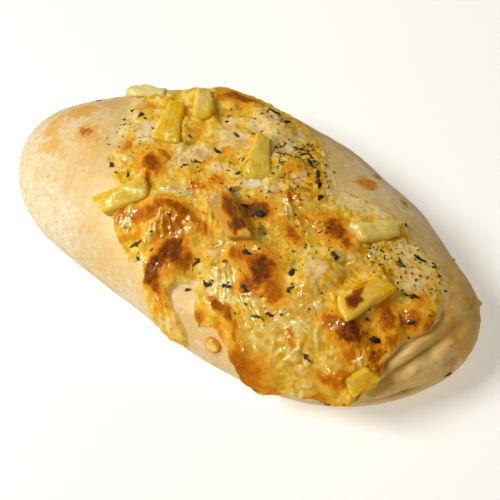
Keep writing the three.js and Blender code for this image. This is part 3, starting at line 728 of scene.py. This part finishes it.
def crust_finish():
    finish = Finish("baked_crust", {
        "Subsurface Weight": 0.12, "Subsurface Radius": (1.0, 0.5, 0.25), "Subsurface Scale": 0.003,
        "Specular IOR Level": 0.25,
    })
    place = finish.object_place()
    broad = finish.grain(place, 26, 2)
    cloud = finish.grain(place, 8, 3)
    blotch = finish.grain(place, 2.6, 4, 0.65)
    fine = finish.grain(place, 0.9, 3, 0.7)
    flour = finish.window(finish.grain(place, 4, 4, 0.7), 0.54, 0.7)
    streak = finish.grain(finish.stretched(finish.own_place("fold"), (0.14, 1.0, 0.5)), 2.2, 3)
    toast = finish.mask("toast")
    baked = finish.mask("baked")
    oil = finish.mask("oil")
    # The warmth mask warms the tone; low on the foot it is partly the crust's own colour and partly
    # painted shade
    tone = broad * 0.35 + cloud * 0.4 + blotch * 0.25 + finish.mask("warmth") * 0.1
    speckle = (cloud - 0.5) * 0.5 + (blotch - 0.5) * 0.9 + (fine - 0.5) * 0.7
    heat = toast + speckle * (toast * 1.2 + 0.1)
    toasted = finish.ramp(
        heat, (0, 240, 212, 150), (0.35, 240, 190, 104), (0.65, 232, 160, 44), (0.9, 204, 120, 8),
        (1, 170, 88, 0),
    )
    colour = finish.coats(
        shade(243, 229, 196),
        # The baked tone in large clouds, golden blotches and fine grain
        (finish.window(tone, 0.42, 0.62), shade(240, 207, 142)),
        (finish.window(blotch, 0.5, 0.64) * 0.5, shade(230, 188, 114)),
        (finish.window(fine, 0.5, 0.62) * 0.4, shade(222, 184, 116)),
        # Oil that the cheese left, painted shade on the crust in the cheese's bay, and flour
        (oil * 0.5, shade(240, 200, 112)),
        (finish.mask("bay") * (cloud * 0.6 + 0.1), shade(226, 188, 122)),
        (flour * (1 - baked) * 0.6, shade(250, 242, 222)),
        # The +X end: browner, partly as painted shade; light and dark streaks; painted shade in its
        # grooves
        (baked * 0.9, shade(234, 188, 98)),
        (baked * finish.window(streak, 0.52, 0.7), shade(246, 214, 142)),
        (baked * finish.window(cloud + streak, 1.02, 0.8) * 0.8, shade(214, 160, 70)),
        ((finish.mask("groove") * 0.7).held(), shade(178, 122, 40)),
        (finish.window(heat, 0.04, 0.5), toasted),
    )
    return finish.feed(
        Base_Color=colour,
        Roughness=0.52 + fine * 0.2 - oil * 0.2,
        Normal=finish.relief(fine * 0.7 + blotch * 0.8 + streak * baked * 1.6, 0.22, 0.6),
    )


def cheese_finish():
    finish = Finish("melted_cheese", {
        "Subsurface Weight": 0.45, "Subsurface Radius": (1.0, 0.65, 0.15), "Subsurface Scale": 0.0016,
        "Specular IOR Level": 0.05,
    })
    place = finish.object_place()
    way = finish.own_place("way")
    mottle = finish.grain(place, 1.8, 3, 0.6)
    curd = finish.grain(place, 3.2, 2)
    patch = finish.grain(place, 6, 3)
    grit = finish.window(finish.grain(place, 0.9, 2), 0.46, 0.6)
    strings = finish.crinkled(finish.stretched(way, (0.5, 1.0, 0.7)), 2.6)
    brown = finish.mask("brown")
    high = finish.mask("high")
    wet = finish.mask("wet")
    film = finish.window(finish.mask("film") + (patch - 0.5) * 0.6 + (mottle - 0.5) * 0.4, 0.15, 0.7)
    curdled = finish.window(curd * 0.7 + mottle * 0.3, 0.42, 0.6)
    # The tone rises with the relief's height, so tops are paler and creases deeper amber: partly the
    # cheese's own colour, partly painted light and painted shade
    tone = high * 0.4 + patch * 0.6 + curdled * 0.3 + mottle * 0.4 - 0.29
    yellow = finish.ramp(
        tone, (0, 204, 132, 0), (0.25, 236, 178, 12), (0.5, 250, 207, 76), (0.75, 252, 230, 150),
        (1, 252, 243, 212),
    )
    # Milky cream in the creamy places, and painted sheen as cream lines along the strings where the
    # cheese is wet
    milky_and_sheen = (finish.mask("creamy") + strings * wet * 0.25).held()
    heat = brown + (mottle - 0.5) * 0.5 - grit * brown * 0.2 + 0.04
    browned = finish.ramp(
        heat, (0, 252, 214, 110), (0.22, 248, 184, 44), (0.45, 234, 148, 6), (0.64, 212, 122, 0),
        (0.84, 166, 84, 0), (1, 116, 56, 0),
    )
    stain = finish.window(finish.mask("stain") + (mottle - 0.5) * 0.8, 0.3, 0.9)
    bready = finish.blend(finish.window(curd, 0.4, 0.6), shade(246, 209, 116), shade(251, 227, 170))
    colour = finish.coats(
        yellow,
        # Deep yellow, deeper in creases as painted shade; milky places with painted sheen on wet strings;
        # browned spots; herbs seen through the cheese
        (finish.mask("deep") * (1.1 - high * 0.5), shade(234, 166, 0)),
        (milky_and_sheen * (curdled * 0.5 + 0.5), shade(253, 243, 210)),
        (finish.window(brown + (mottle - 0.5) * 0.3, 0.05, 0.3), browned),
        (stain * 0.75, shade(112, 94, 40)),
        # The crust seen through the thin film, and the film's pale edge
        (film * (1 - brown), bready),
        (finish.mask("hem"), shade(240, 210, 146)),
    )
    relief = finish.relief(mottle * 0.4 + strings * wet * 0.6 + grit * (brown * 0.5 + 0.1), 0.4)
    # Glints lie along thin winding lines where the cheese is wettest
    dull = finish.window(brown, 0.5, 0.9) * (1 - wet) + film
    ripple = finish.grain(finish.stretched(way, (0.45, 1.0, 0.7)), 1.4, 1)
    line = finish.window((ripple - 0.5).size(), 0.06, 0.025)
    shine = finish.relief(curd * 0.6 + patch * 0.5 + ripple * 0.45, 1.0)
    wettest = wet * 0.8 + (patch - 0.5) * 0.9 + (curd - 0.5) * 0.5 - dull
    finish.glaze(finish.window(wettest, 0.34, 0.48) * (line * 0.9 + 0.08), 0.17, colour, shine)
    return finish.feed(Base_Color=colour, Roughness=0.5 + mottle * 0.2, Normal=relief)


def pineapple_finish():
    finish = Finish("cooked_pineapple", {
        "Subsurface Weight": 0.75, "Subsurface Radius": (1.0, 0.75, 0.2), "Subsurface Scale": 0.007,
        "Specular IOR Level": 0.05,
    })
    place = finish.own_place("fibre")
    strands = finish.grain(finish.stretched(place, (0.16, 1.0, 1.0)), 1.1, 3, 0.6)
    cloud = finish.grain(place, 4.5, 3)
    pips = finish.window(finish.grain(place, 1.1, 2), 0.56, 0.66)
    ripe = finish.mask("ripe")
    flesh = finish.blend(ripe, shade(242, 204, 76), shade(250, 190, 0))
    lighter = finish.blend(ripe, shade(250, 226, 128), shade(250, 202, 20))
    heat = finish.mask("brown") + (strands - 0.5) * 0.5 + (cloud - 0.5) * 0.3
    browned = finish.ramp(
        heat, (0, 240, 196, 60), (0.35, 226, 150, 10), (0.7, 170, 92, 0), (1, 104, 50, 0),
    )
    colour = finish.coats(
        flesh,
        # Light and dark fibres, cheese that clings, and a dim piece darkened all over
        (finish.window(strands * 0.4 + cloud * 0.7, 0.48, 0.66), lighter),
        (finish.window(strands, 0.56, 0.42) * 0.4, shade(228, 168, 40)),
        (finish.mask("cling") * finish.window(cloud, 0.42, 0.62), shade(248, 222, 134)),
        (finish.mask("dim"), shade(194, 152, 82)),
        # Pale pips, the deeper rim, a pale piece's tint and the browned spots
        (pips * 0.3, shade(254, 236, 160)),
        (finish.mask("rim") * 0.4, shade(240, 180, 0)),
        (finish.mask("pale"), shade(255, 240, 184)),
        (finish.window(heat, 0.1, 0.4), browned),
    )
    relief = finish.relief(strands * 0.6 + cloud * 0.6 + pips * 0.2, 0.25, 0.7)
    gloss = finish.window(cloud + strands * 0.6, 0.8, 0.88) * finish.window(heat, 0.2, 0.05)
    finish.glaze(gloss * 0.3, 0.16, colour, finish.relief(cloud + strands * 0.5, 0.4))
    return finish.feed(Base_Color=colour, Roughness=0.6 + cloud * 0.3, Normal=relief)


def herb_finish():
    finish = Finish("dried_herb", {"Specular IOR Level": 0.12})
    grain = finish.grain(finish.object_place(), 0.7, 2)
    tint = finish.mask("tint") + (grain - 0.5) * 0.4
    colour = finish.ramp(
        tint, (0, 44, 36, 20), (0.35, 66, 56, 28), (0.7, 104, 88, 36), (1, 142, 114, 40),
    )
    return finish.feed(Base_Color=colour, Roughness=0.45 + grain * 0.3,
                       Normal=finish.relief(grain, 0.2, 0.6))


def floor_finish():
    finish = Finish("studio_floor", {
        "Roughness": 0.7, "Specular IOR Level": 0.1,
        "Emission Color": (1, 1, 1, 1), "Emission Strength": 0.3,
    })
    haze = finish.grain(finish.object_place(), 400, 2)
    colour = finish.blend(haze, shade(250, 250, 248), shade(244, 244, 242))
    return finish.feed(Base_Color=colour)


# ---------------------------------------------------------------- the bread
def make_loaf(finish):
    loaf = new_piece("baked_loaf", bpy.ops.mesh.primitive_cube_add, size=2)
    in_edit_mode(
        loaf,
        lambda: bpy.ops.mesh.subdivide(number_cuts=LOAF_CUTS),
        lambda: bpy.ops.transform.tosphere(value=1.0),
    )
    ball = read_points(loaf)
    ball /= np.linalg.norm(ball, axis=1)[:, None]
    bearing = np.degrees(np.arctan2(ball[:, 1], ball[:, 0]))
    fall = np.degrees(np.arccos(np.clip(ball[:, 2], -1, 1))) / 90
    reach = np.where(fall > 1, 1 + 2 * (fall - 1), fall)
    plain = plain_crust(bearing, reach)
    above = np.clip(2 - reach, 0, 1)
    fine = sum(height * layered(plain, size, seed) for height, size, seed in CRUST_RELIEF)
    end = smooth(plain[:, 0], END_START, END_FULL)
    grain_way = turned(plain, WRINKLE_HEADING)
    fine += end * WRINKLE_HEIGHT * (ridges(grain_way, WRINKLE_SIZE, 21) - 0.4)
    # The creases between the folds, which the finish darkens as painted shade
    grooves = np.zeros(len(plain))
    for start, stop, half, height in END_FOLDS:
        fold = height * np.exp(-((line_distance(plain, start, stop) / half) ** 2))
        fine += fold
        grooves -= fold
    points = crust(bearing, reach, fine * above)
    points[:, 2] = np.maximum(points[:, 2], 0)
    write_points(loaf, points)
    put_mask(loaf, "toast", spots(plain, TOASTED_CRUST, 31, 2.2) * above)
    past_cheese = reach - read_round(CHEESE_EDGE, bearing)
    oil = smooth(past_cheese, 0.2, 0.0)
    # Warmth: beside the cheese's edge, and low on the foot partly as painted shade
    put_mask(loaf, "warmth", smooth(past_cheese, 0.5, 0.0) * above + 0.5 * smooth(reach, 1.6, 2.2))
    put_mask(loaf, "oil", oil * above)
    # Painted shade on the bare crust in the cheese's bay
    put_mask(loaf, "bay", smooth(outline_depth(plain[:, 0], plain[:, 1], BARE_BAY), -2, 2) * above)
    # The +X end's browner colour: partly its own baking, partly painted shade where it turns from the key
    # lamp
    put_mask(loaf, "baked", end * (0.7 + 0.3 * oil) * above)
    put_mask(loaf, "groove", grooves * above)
    put_places(loaf, "fold", grain_way * MM)
    return finish_piece(loaf, finish, ["bread"])


# ---------------------------------------------------------------- the cheese
def cheese_depth(x, y):
    """How deep the cheese lies, before its edge thins it and its fine relief."""
    a, b, c, d = LUMP_WAVES
    depth = CHEESE_DEPTH + LUMP_HEIGHT * np.sin(x / a + y / b) * np.cos(y / c - x / d)
    places = np.stack([x, y, 0 * x], axis=1)
    for cx, cy, half, side, heading, height in CHEESE_RISES:
        local = turned(places - np.array([cx, cy, 0]), heading)
        away = (local[:, 0] / half) ** 2 + (local[:, 1] / side) ** 2
        depth += height * np.exp(-RISE_FALL * away ** 2)
    for ax, ay, bx, by, half, height in CHEESE_FOLDS:
        away = line_distance(places[:, :2], (ax, ay), (bx, by))
        depth += height * np.exp(-((away / half) ** 2))
    return depth


def stretched_way(places):
    """Places along and across the winding way in which the cheese ran as it melted."""
    drift = [layered(places, RUN_DRIFT_SIZE, seed, 2) for seed in (41, 45)]
    drift = np.stack([*drift, 0 * places[:, 0]], axis=1)
    return turned(places + RUN_DRIFT * drift, RUN_HEADING)


def cheese_relief(places, brown, wet, film):
    """The soft swells, strings and blisters of melted cheese."""
    way = stretched_way(places)
    swells = 0.45 * layered(way, (9, 6, 7), 51, 2) + 0.16 * layered(places, 2.8, 53, 2)
    blobs = 0.4 * domes(way, (7, 5.5, 6), 55) + 0.35 * domes(places, 3, 57) - 0.4
    crinkle = wet * (ridges(way, (5, 2.6, 4), 73, 3) + 0.6 * ridges(places, 3, 77, 3))
    blisters = brown * (0.1 + 0.45 * ridges(way, (3, 2.2, 2.6), 75))
    strands = sum(strand_height(places, strand) for strand in CHEESE_STRANDS)
    relief = swells + blobs + 0.45 * crinkle + 0.5 * blisters + 0.9 * strands - 0.1
    return relief * (1 - FILM_LOSS * film)


def strand_height(places, strand):
    """A thin stretched string of cheese between two ends."""
    ax, ay, bx, by, half, height = strand
    wavy = places[:, :2] + 0.5 * hills(places, 4, 79)[:, None]
    return height * np.exp(-((line_distance(wavy, (ax, ay), (bx, by)) / half) ** 2))


def cheese_lift(bearing, reach):
    """How high the top of the cheese stands over the crust, and its masks."""
    plain = plain_crust(bearing, reach)
    x, y = plain[:, 0], plain[:, 1]
    core = spots(plain, BROWNED_CHEESE, 81)
    glow = spots(plain, BROWNED_CHEESE, 83, GLOW_RAGGED, GLOW_REACH)
    brown = np.maximum(core, GLOW_STRENGTH * glow)
    edge = plain_crust(bearing, read_round(CHEESE_EDGE, bearing) * CHEESE_OVERHANG)
    inside = np.linalg.norm(edge - plain, axis=1)
    inside = np.minimum(inside, -outline_depth(x, y, BARE_BAY))
    rim = read_round(FADING_RIM, bearing)
    film = np.maximum(spots(plain, THIN_CHEESE, 85), 0.95 * smooth(rim - inside, 0, 0.7 * rim))
    inside += (EDGE_WANDER + FILM_WANDER * film) * layered(plain, 3.5, 89)
    wet = spots(plain, WRINKLED_CHEESE, 71, 2.0) * (1 - film)
    relief = cheese_relief(plain, brown, wet, film)
    depth = cheese_depth(x, y) * (1 - FILM_LOSS * film) + relief
    for piece in PINEAPPLE:
        depth += collar(piece, plain)
    lip = np.clip(inside / (LIP_WIDTH * (1 + 2 * film)), 0, 1)
    rounded = np.sqrt(1 - (1 - lip) ** 2)
    lift = -EDGE_SUNK + (np.maximum(depth, THINNEST_CHEESE) + EDGE_SUNK) * rounded
    thin = np.maximum(film, 0.5 * smooth(inside, 2.2, 0.2))
    hem = film * smooth(inside, 4, 0.5)
    # high is the relief's height, which the finish uses to paint tops paler and creases darker, partly as
    # painted light and shade
    return lift, dict(brown=brown, film=thin, high=smooth(relief, -0.6, 1.0), wet=wet, hem=hem)


def collar(piece, plain):
    """Cheese that climbs the sides of a pineapple piece."""
    local = turned(plain - np.array([*piece["at"], 0]), piece["heading"])
    half = 0.5 * piece["long"]
    taper = np.clip(0.5 + 0.5 * local[:, 0] / half, 0, 1)
    side = 0.5 * (piece["wide"] + (piece["narrow"] - piece["wide"]) * taper)
    away = np.maximum(np.abs(local[:, 0]) - half, np.abs(local[:, 1]) - side)
    uneven = 0.7 + 0.9 * layered(plain, 4.5, 63, 2)
    share = COLLAR_LEAST + COLLAR_CLING * min(piece["cling"], 0.5)
    climb = share * piece["thick"] * np.maximum(uneven, 0)
    return climb * np.exp(-((np.maximum(away, 0) / COLLAR_WIDTH) ** 2)) * (away > -1.5)


def new_sheet(name, cuts):
    """A square grid from -1 to 1."""
    return new_piece(name, bpy.ops.mesh.primitive_grid_add,
                     x_subdivisions=cuts, y_subdivisions=cuts, size=2)


def on_disc(square):
    """A square from -1 to 1 drawn into a round disc."""
    u, v = square[:, 0], square[:, 1]
    x = u * np.sqrt(1 - 0.5 * v * v)
    y = v * np.sqrt(1 - 0.5 * u * u)
    bearing = np.degrees(np.arctan2(y, x))
    reach = np.hypot(x, y) * read_round(CHEESE_EDGE, bearing) * CHEESE_OVERHANG
    return bearing, reach


def make_cheese(finish):
    back = new_sheet("cheese_back", BACK_CUTS)
    in_edit_mode(back, bpy.ops.mesh.flip_normals)
    write_points(back, crust(*on_disc(read_points(back)), -BACK_SUNK))
    top = new_sheet("melted_cheese", CHEESE_CUTS)
    bearing, reach = on_disc(read_points(top))
    lift, masks = cheese_lift(bearing, reach)
    write_points(top, crust(bearing, reach, lift))
    plain = plain_crust(bearing, reach)
    for name, values in masks.items():
        put_mask(top, name, values)
    put_mask(top, "creamy", spots(plain, CREAMY_CHEESE, 91))
    put_mask(top, "deep", 0.8 * spots(plain, DEEP_CHEESE, 95))
    put_mask(top, "stain", spots(plain, STAINED_CHEESE, 99))
    put_places(top, "way", stretched_way(plain) * MM)
    take(back, top)
    bpy.ops.object.join()
    take(top)
    bpy.ops.object.mode_set(mode="EDIT")
    bpy.ops.mesh.select_all(action="DESELECT")
    bpy.ops.mesh.select_mode(type="EDGE")
    bpy.ops.mesh.select_non_manifold()
    bpy.ops.mesh.bridge_edge_loops()
    bpy.ops.object.mode_set(mode="OBJECT")
    return finish_piece(top, finish, ["cheese"])


def make_drip(finish):
    drip = new_piece("cheese_drip", bpy.ops.mesh.primitive_uv_sphere_add,
                     segments=48, ring_count=24, radius=1)
    ball = read_points(drip)
    along, across, up = ball.T
    out = np.hypot(along, across)
    height = np.where(up > 0, DROP_HEIGHT * np.sqrt(np.maximum(0, 1 - out ** 3)), -SEAT_GAP)
    turn, seat = standing(DROP_BEARING, DROP_REACH, SEAT_GAP)
    wobble = 1 + 0.06 * np.sin(3 * np.arctan2(across, along) + 1)
    local = np.stack([along * DROP_RADIUS * wobble, across * DROP_RADIUS * wobble, height], axis=1)
    points = local @ np.array(turn).T + seat
    write_points(drip, points)
    zeros = np.zeros(len(points))
    put_mask(drip, "brown", 0.42 * smooth(out, 0.5, 0.9))
    put_mask(drip, "deep", zeros + 0.3)
    put_mask(drip, "wet", zeros + 1)
    put_mask(drip, "high", zeros + 0.5)
    for name in ("film", "creamy", "stain", "hem"):
        put_mask(drip, name, zeros)
    put_places(drip, "way", points * MM)
    return finish_piece(drip, finish, ["cheese_drop"])


def standing(bearing, reach, lift):
    """The turn that stands a piece on the crust there, and the place of its seat."""
    at, out = np.array([float(bearing)]), np.array([float(reach)])
    up = Vector(crust_normal(at, out)[0])
    turn = Vector((0, 0, 1)).rotation_difference(up).to_matrix()
    return turn, crust(at, out, lift)[0]


# ---------------------------------------------------------------- the pineapple
def make_pineapple(number, piece, finish):
    chunk = new_piece(f"pineapple_piece_{number}", bpy.ops.mesh.primitive_cube_add, size=1)
    thick = piece["thick"] + PINEAPPLE_SUNK
    in_edit_mode(
        chunk,
        lambda: bpy.ops.transform.resize(value=(piece["long"], piece["wide"], thick)),
        lambda: bpy.ops.mesh.subdivide(number_cuts=PINEAPPLE_CUTS),
    )
    box = np.array([piece["long"], piece["wide"], thick]) / 2
    local = read_points(chunk)
    curve = piece["round"]
    core = np.clip(local, curve - box, box - curve)
    corner = local - core
    out = corner / np.linalg.norm(corner, axis=1)[:, None]
    local = core + curve * out
    share = local[:, 0] / piece["long"] + 0.5
    across = local[:, 1] / box[1]
    local[:, 1] *= 1 + (piece["narrow"] / piece["wide"] - 1) * share
    local[:, 0] -= PINEAPPLE_BOW * (1 - across ** 2) * (1.6 - share)
    first, last = piece["slant"]
    local[:, 0] += local[:, 1] * (first + (last - first) * share)
    fibre = local.copy()
    seed = 101 + 10 * number
    uneven = (PINEAPPLE_UNEVEN + piece["cling"]) * layered(local, 5.5, seed)
    uneven += 0.1 * hills(local, 1.8, seed + 5)
    local = local + out * uneven[:, None]
    wander = [hills(fibre, 6, seed + shift) for shift in (7, 8)]
    local[:, :2] += PINEAPPLE_WANDER * np.stack(wander, axis=1)
    rim = np.maximum(np.abs(across), np.abs(2 * share - 1))
    fall = PINEAPPLE_EDGE_FALL * rim ** 4 * (fibre[:, 2] > 0)
    local[:, 2] += 0.5 * piece["thick"] - 0.5 * PINEAPPLE_SUNK - fall
    local[:, 2] *= 1 + piece["slope"] * (across - 0.6)
    turn = Matrix.Rotation(math.radians(piece["heading"]), 3, "Z")
    turn = turn @ Matrix.Rotation(math.radians(-piece["pitch"]), 3, "Y")
    turn = turn @ Matrix.Rotation(math.radians(piece["roll"]), 3, "X")
    bearing, reach = place_on_dome(*piece["at"])
    upright, seat = standing(bearing[0], reach[0], SEAT_GAP)
    points = local @ np.array(upright @ turn).T + seat
    write_points(chunk, points)
    put_places(chunk, "fibre", fibre * MM + 0.05 * number)
    for name in ("ripe", "cling", "pale", "dim"):
        put_mask(chunk, name, np.full(len(local), piece[name]))
    put_mask(chunk, "rim", np.maximum(smooth(rim, 0.7, 1.0), smooth(fibre[:, 2], 0.3 * thick, 0)))
    table = [(x, y, half, side, 0, strength) for x, y, half, side, strength in piece["browned"]]
    put_mask(chunk, "brown", spots(fibre, table, 131, 1.5) * smooth(fibre[:, 2], 0, 0.3 * thick))
    return finish_piece(chunk, finish, [f"pineapple_{number}"])


# ---------------------------------------------------------------- the herbs
# A flake's outline: its points, how far its three lobes stand out, and for each kind of jag
# how often it comes round and how deep it is
FLAKE_SIDES = 12
FLAKE_LOBES = 0.16
FLAKE_JAGS = ((2, 0.16), (3, 0.18), (5, 0.12))
# Thickness and curl of the flakes and of the specks
FLAKE_FORM = (0.35, 0.5)
SPECK_FORM = (0.3, 0.15)
CRUMBS_PER_FLAKE = 2


def flake_form():
    """One flat leaf flake with a lobed outline, a unit long, wide and thick."""
    flake = new_piece("flake_form", bpy.ops.mesh.primitive_circle_add,
                      vertices=FLAKE_SIDES, radius=0.5, fill_type="TRIFAN")
    in_edit_mode(
        flake,
        lambda: bpy.ops.mesh.extrude_region_move(TRANSFORM_OT_translate={"value": (0, 0, 1)}),
        lambda: bpy.ops.mesh.select_all(action="SELECT"),
        lambda: bpy.ops.mesh.normals_make_consistent(inside=False),
    )
    points = read_points(flake)
    faces = [tuple(face.vertices) for face in flake.data.polygons]
    bpy.data.objects.remove(flake)
    angle = np.arctan2(points[:, 1], points[:, 0])
    points[:, :2] *= (1 + FLAKE_LOBES * np.cos(3 * angle + 0.6))[:, None]
    return points - np.array([0, 0, 0.5]), faces


def cheese_top(x, y):
    """The place and the outward direction on top of the food at places in plan."""
    step = 0.4
    centre = topmost(x, y)
    right = topmost(x + step, y) - topmost(x - step, y)
    far = topmost(x, y + step) - topmost(x, y - step)
    out = np.cross(right, far)
    return centre, out / np.linalg.norm(out, axis=1)[:, None]


def topmost(x, y):
    bearing, reach = place_on_dome(x, y)
    lift, _ = cheese_lift(bearing, reach)
    on_cheese = reach < read_round(CHEESE_EDGE, bearing) * CHEESE_OVERHANG
    return crust(bearing, reach, np.maximum(lift, 0) * on_cheese)


def scatter(name, flakes, seed, flake_build, finish):
    """Joins many flakes, each x, y, length, width and heading, into one piece."""
    thickness, curl = flake_build
    draw = random.Random(seed)
    form, faces = flake_form()
    table = np.array(flakes, float)
    seats, outs = cheese_top(table[:, 0], table[:, 1])
    points, sides, tints = [], [], []
    for (_, _, long, wide, heading), seat, out in zip(flakes, seats, outs):
        angle = np.arctan2(form[:, 1], form[:, 0])
        jag = 1 + sum(share * np.sin(turns * angle + draw.uniform(0, 6))
                      for turns, share in FLAKE_JAGS)
        local = form * np.array([long, wide * draw.uniform(0.6, 0.9), thickness])
        local[:, :2] *= jag[:, None]
        bend = curl * draw.uniform(0.4, 1.0) * (local[:, 0] / long) ** 2 * 4
        twist = draw.uniform(-0.5, 0.5) * local[:, 0] * local[:, 1] / max(long, 0.1)
        local[:, 2] += bend + twist + 0.35 * thickness
        turn = Vector((0, 0, 1)).rotation_difference(Vector(out)).to_matrix()
        turn = turn @ Matrix.Rotation(math.radians(heading), 3, "Z")
        turn = turn @ Matrix.Rotation(draw.uniform(-0.25, 0.25), 3, "X")
        first = len(points) * len(form)
        points.append(local @ np.array(turn).T + seat)
        sides += [tuple(first + corner for corner in face) for face in faces]
        tints += [draw.uniform(0.0, 0.75) ** 1.5] * len(form)
    mesh = bpy.data.meshes.new(name)
    mesh.from_pydata((np.concatenate(points) * MM).tolist(), [], sides)
    piece = bpy.data.objects.new(name, mesh)
    bpy.context.scene.collection.objects.link(piece)
    put_mask(piece, "tint", tints)
    return finish_piece(piece, finish)


def beside(x, y, along, across, heading):
    """The place that lies along and across a heading from x, y."""
    angle = math.radians(heading)
    place_x = x + along * math.cos(angle) - across * math.sin(angle)
    place_y = y + along * math.sin(angle) + across * math.cos(angle)
    return place_x, place_y


def crumbs():
    """Broken bits of leaf round the largest flakes."""
    draw = random.Random(11)
    found = []
    for x, y, long, wide, heading in HERB_FLAKES:
        for _ in range(CRUMBS_PER_FLAKE):
            along = draw.uniform(-0.6, 0.6) * long
            across = draw.uniform(-0.5, 0.5) * wide
            place = beside(x, y, along, across, heading)
            size = draw.uniform(0.7, 1.7)
            found.append((*place, size, size * draw.uniform(0.5, 0.9), draw.uniform(0, 180)))
    return found


def specks():
    """Fine specks drawn at random within their fields."""
    draw = random.Random(7)
    found = []
    for x, y, half, side, heading, count in SPECK_FIELDS:
        for _ in range(count):
            turn = draw.uniform(0, 2 * math.pi)
            out = math.sqrt(draw.random())
            place = beside(x, y, out * half * math.cos(turn), out * side * math.sin(turn), heading)
            long = 0.35 + 1.0 * draw.random() ** 2
            found.append((*place, long, long * draw.uniform(0.35, 0.8), draw.uniform(0, 180)))
    return found


# ---------------------------------------------------------------- camera and light
CAMERA_BEARING = 32
CAMERA_RISE = 60
CAMERA_DISTANCE = 555.6
CAMERA_LENS = 100
LOOKED_AT = (0, 0, 22)
AIM_RIGHT = 2.68
AIM_DOWN = 9.44
# Lamps: name, direction to the right, up and back of the view, metres away, metres across, watts
KEY_LAMP = ("key", (-0.66, 0.36, 0.68), 1.5, 0.7, 16.2)
GLINT_LAMPS = [
    ("glint_left", (-0.75, 0.4, 0.6), 1.0, 0.4, 22),
    ("glint_low", (-0.8, -0.1, 0.6), 1.0, 0.3, 12),
    ("glint_top", (-0.25, 0.75, 0.65), 1.0, 0.3, 10),
]
KEY_COLOUR = (1, 1, 1)
GLINT_COLOUR = (1, 0.94, 0.76)
SKY_COLOUR = (1, 0.89, 0.62, 1)
SKY_STRENGTH = 0.24
FLOOR_SIZE = 6


def camera_axes():
    """The camera's backward, right and up directions."""
    az, el = math.radians(CAMERA_BEARING), math.radians(CAMERA_RISE)
    back = Vector((math.sin(az) * math.cos(el), -math.cos(az) * math.cos(el), math.sin(el)))
    right = Vector((math.cos(az), math.sin(az), 0))
    return back, right, back.cross(right)


def make_camera():
    back, right, up = camera_axes()
    stand = (Vector(LOOKED_AT) + back * CAMERA_DISTANCE) * MM
    aim = (Vector(LOOKED_AT) + right * AIM_RIGHT - up * AIM_DOWN) * MM
    turn = (aim - stand).to_track_quat("-Z", "Y").to_euler()
    bpy.ops.object.camera_add(location=stand, rotation=turn)
    camera = bpy.context.active_object
    camera.data.lens = CAMERA_LENS
    bpy.context.scene.camera = camera


def make_lamp(name, direction, distance, size, power, glint=False):
    """A soft lamp. The key isn't seen in reflections, and a glint lamp only in them."""
    back, right, up = camera_axes()
    sideways, upward, toward = direction
    outward = (right * sideways + up * upward + back * toward).normalized()
    turn = (-outward).to_track_quat("-Z", "Y").to_euler()
    bpy.ops.object.light_add(type="AREA", location=outward * distance, rotation=turn)
    lamp = bpy.context.active_object
    lamp.name = name
    lamp.data.shape = "DISK"
    lamp.data.size = size
    lamp.data.energy = power
    lamp.data.color = GLINT_COLOUR if glint else KEY_COLOUR
    lamp.visible_diffuse = not glint
    lamp.visible_glossy = glint


def make_studio():
    make_lamp(*KEY_LAMP)
    for lamp in GLINT_LAMPS:
        make_lamp(*lamp, glint=True)
    floor = new_piece("studio_floor", bpy.ops.mesh.primitive_plane_add, size=FLOOR_SIZE)
    floor.data.materials.append(floor_finish())
    floor.visible_glossy = False
    world = bpy.data.worlds.new("studio")
    world.use_nodes = True
    light = world.node_tree.nodes["Background"]
    light.inputs["Color"].default_value = SKY_COLOUR
    light.inputs["Strength"].default_value = SKY_STRENGTH
    bpy.context.scene.world = world
    world.cycles_visibility.glossy = False
    bpy.context.scene.view_settings.view_transform = "Standard"


def main():
    make_camera()
    make_studio()
    make_loaf(crust_finish())
    cheese = cheese_finish()
    make_cheese(cheese)
    make_drip(cheese)
    fruit = pineapple_finish()
    for number, piece in enumerate(PINEAPPLE, 1):
        make_pineapple(number, {**PLAIN_CHUNK, **piece}, fruit)
    herb = herb_finish()
    scatter("herb_flakes", HERB_FLAKES + SMALL_FLAKES + crumbs(), 3, FLAKE_FORM, herb)
    scatter("herb_specks", specks(), 5, SPECK_FORM, herb)


main()
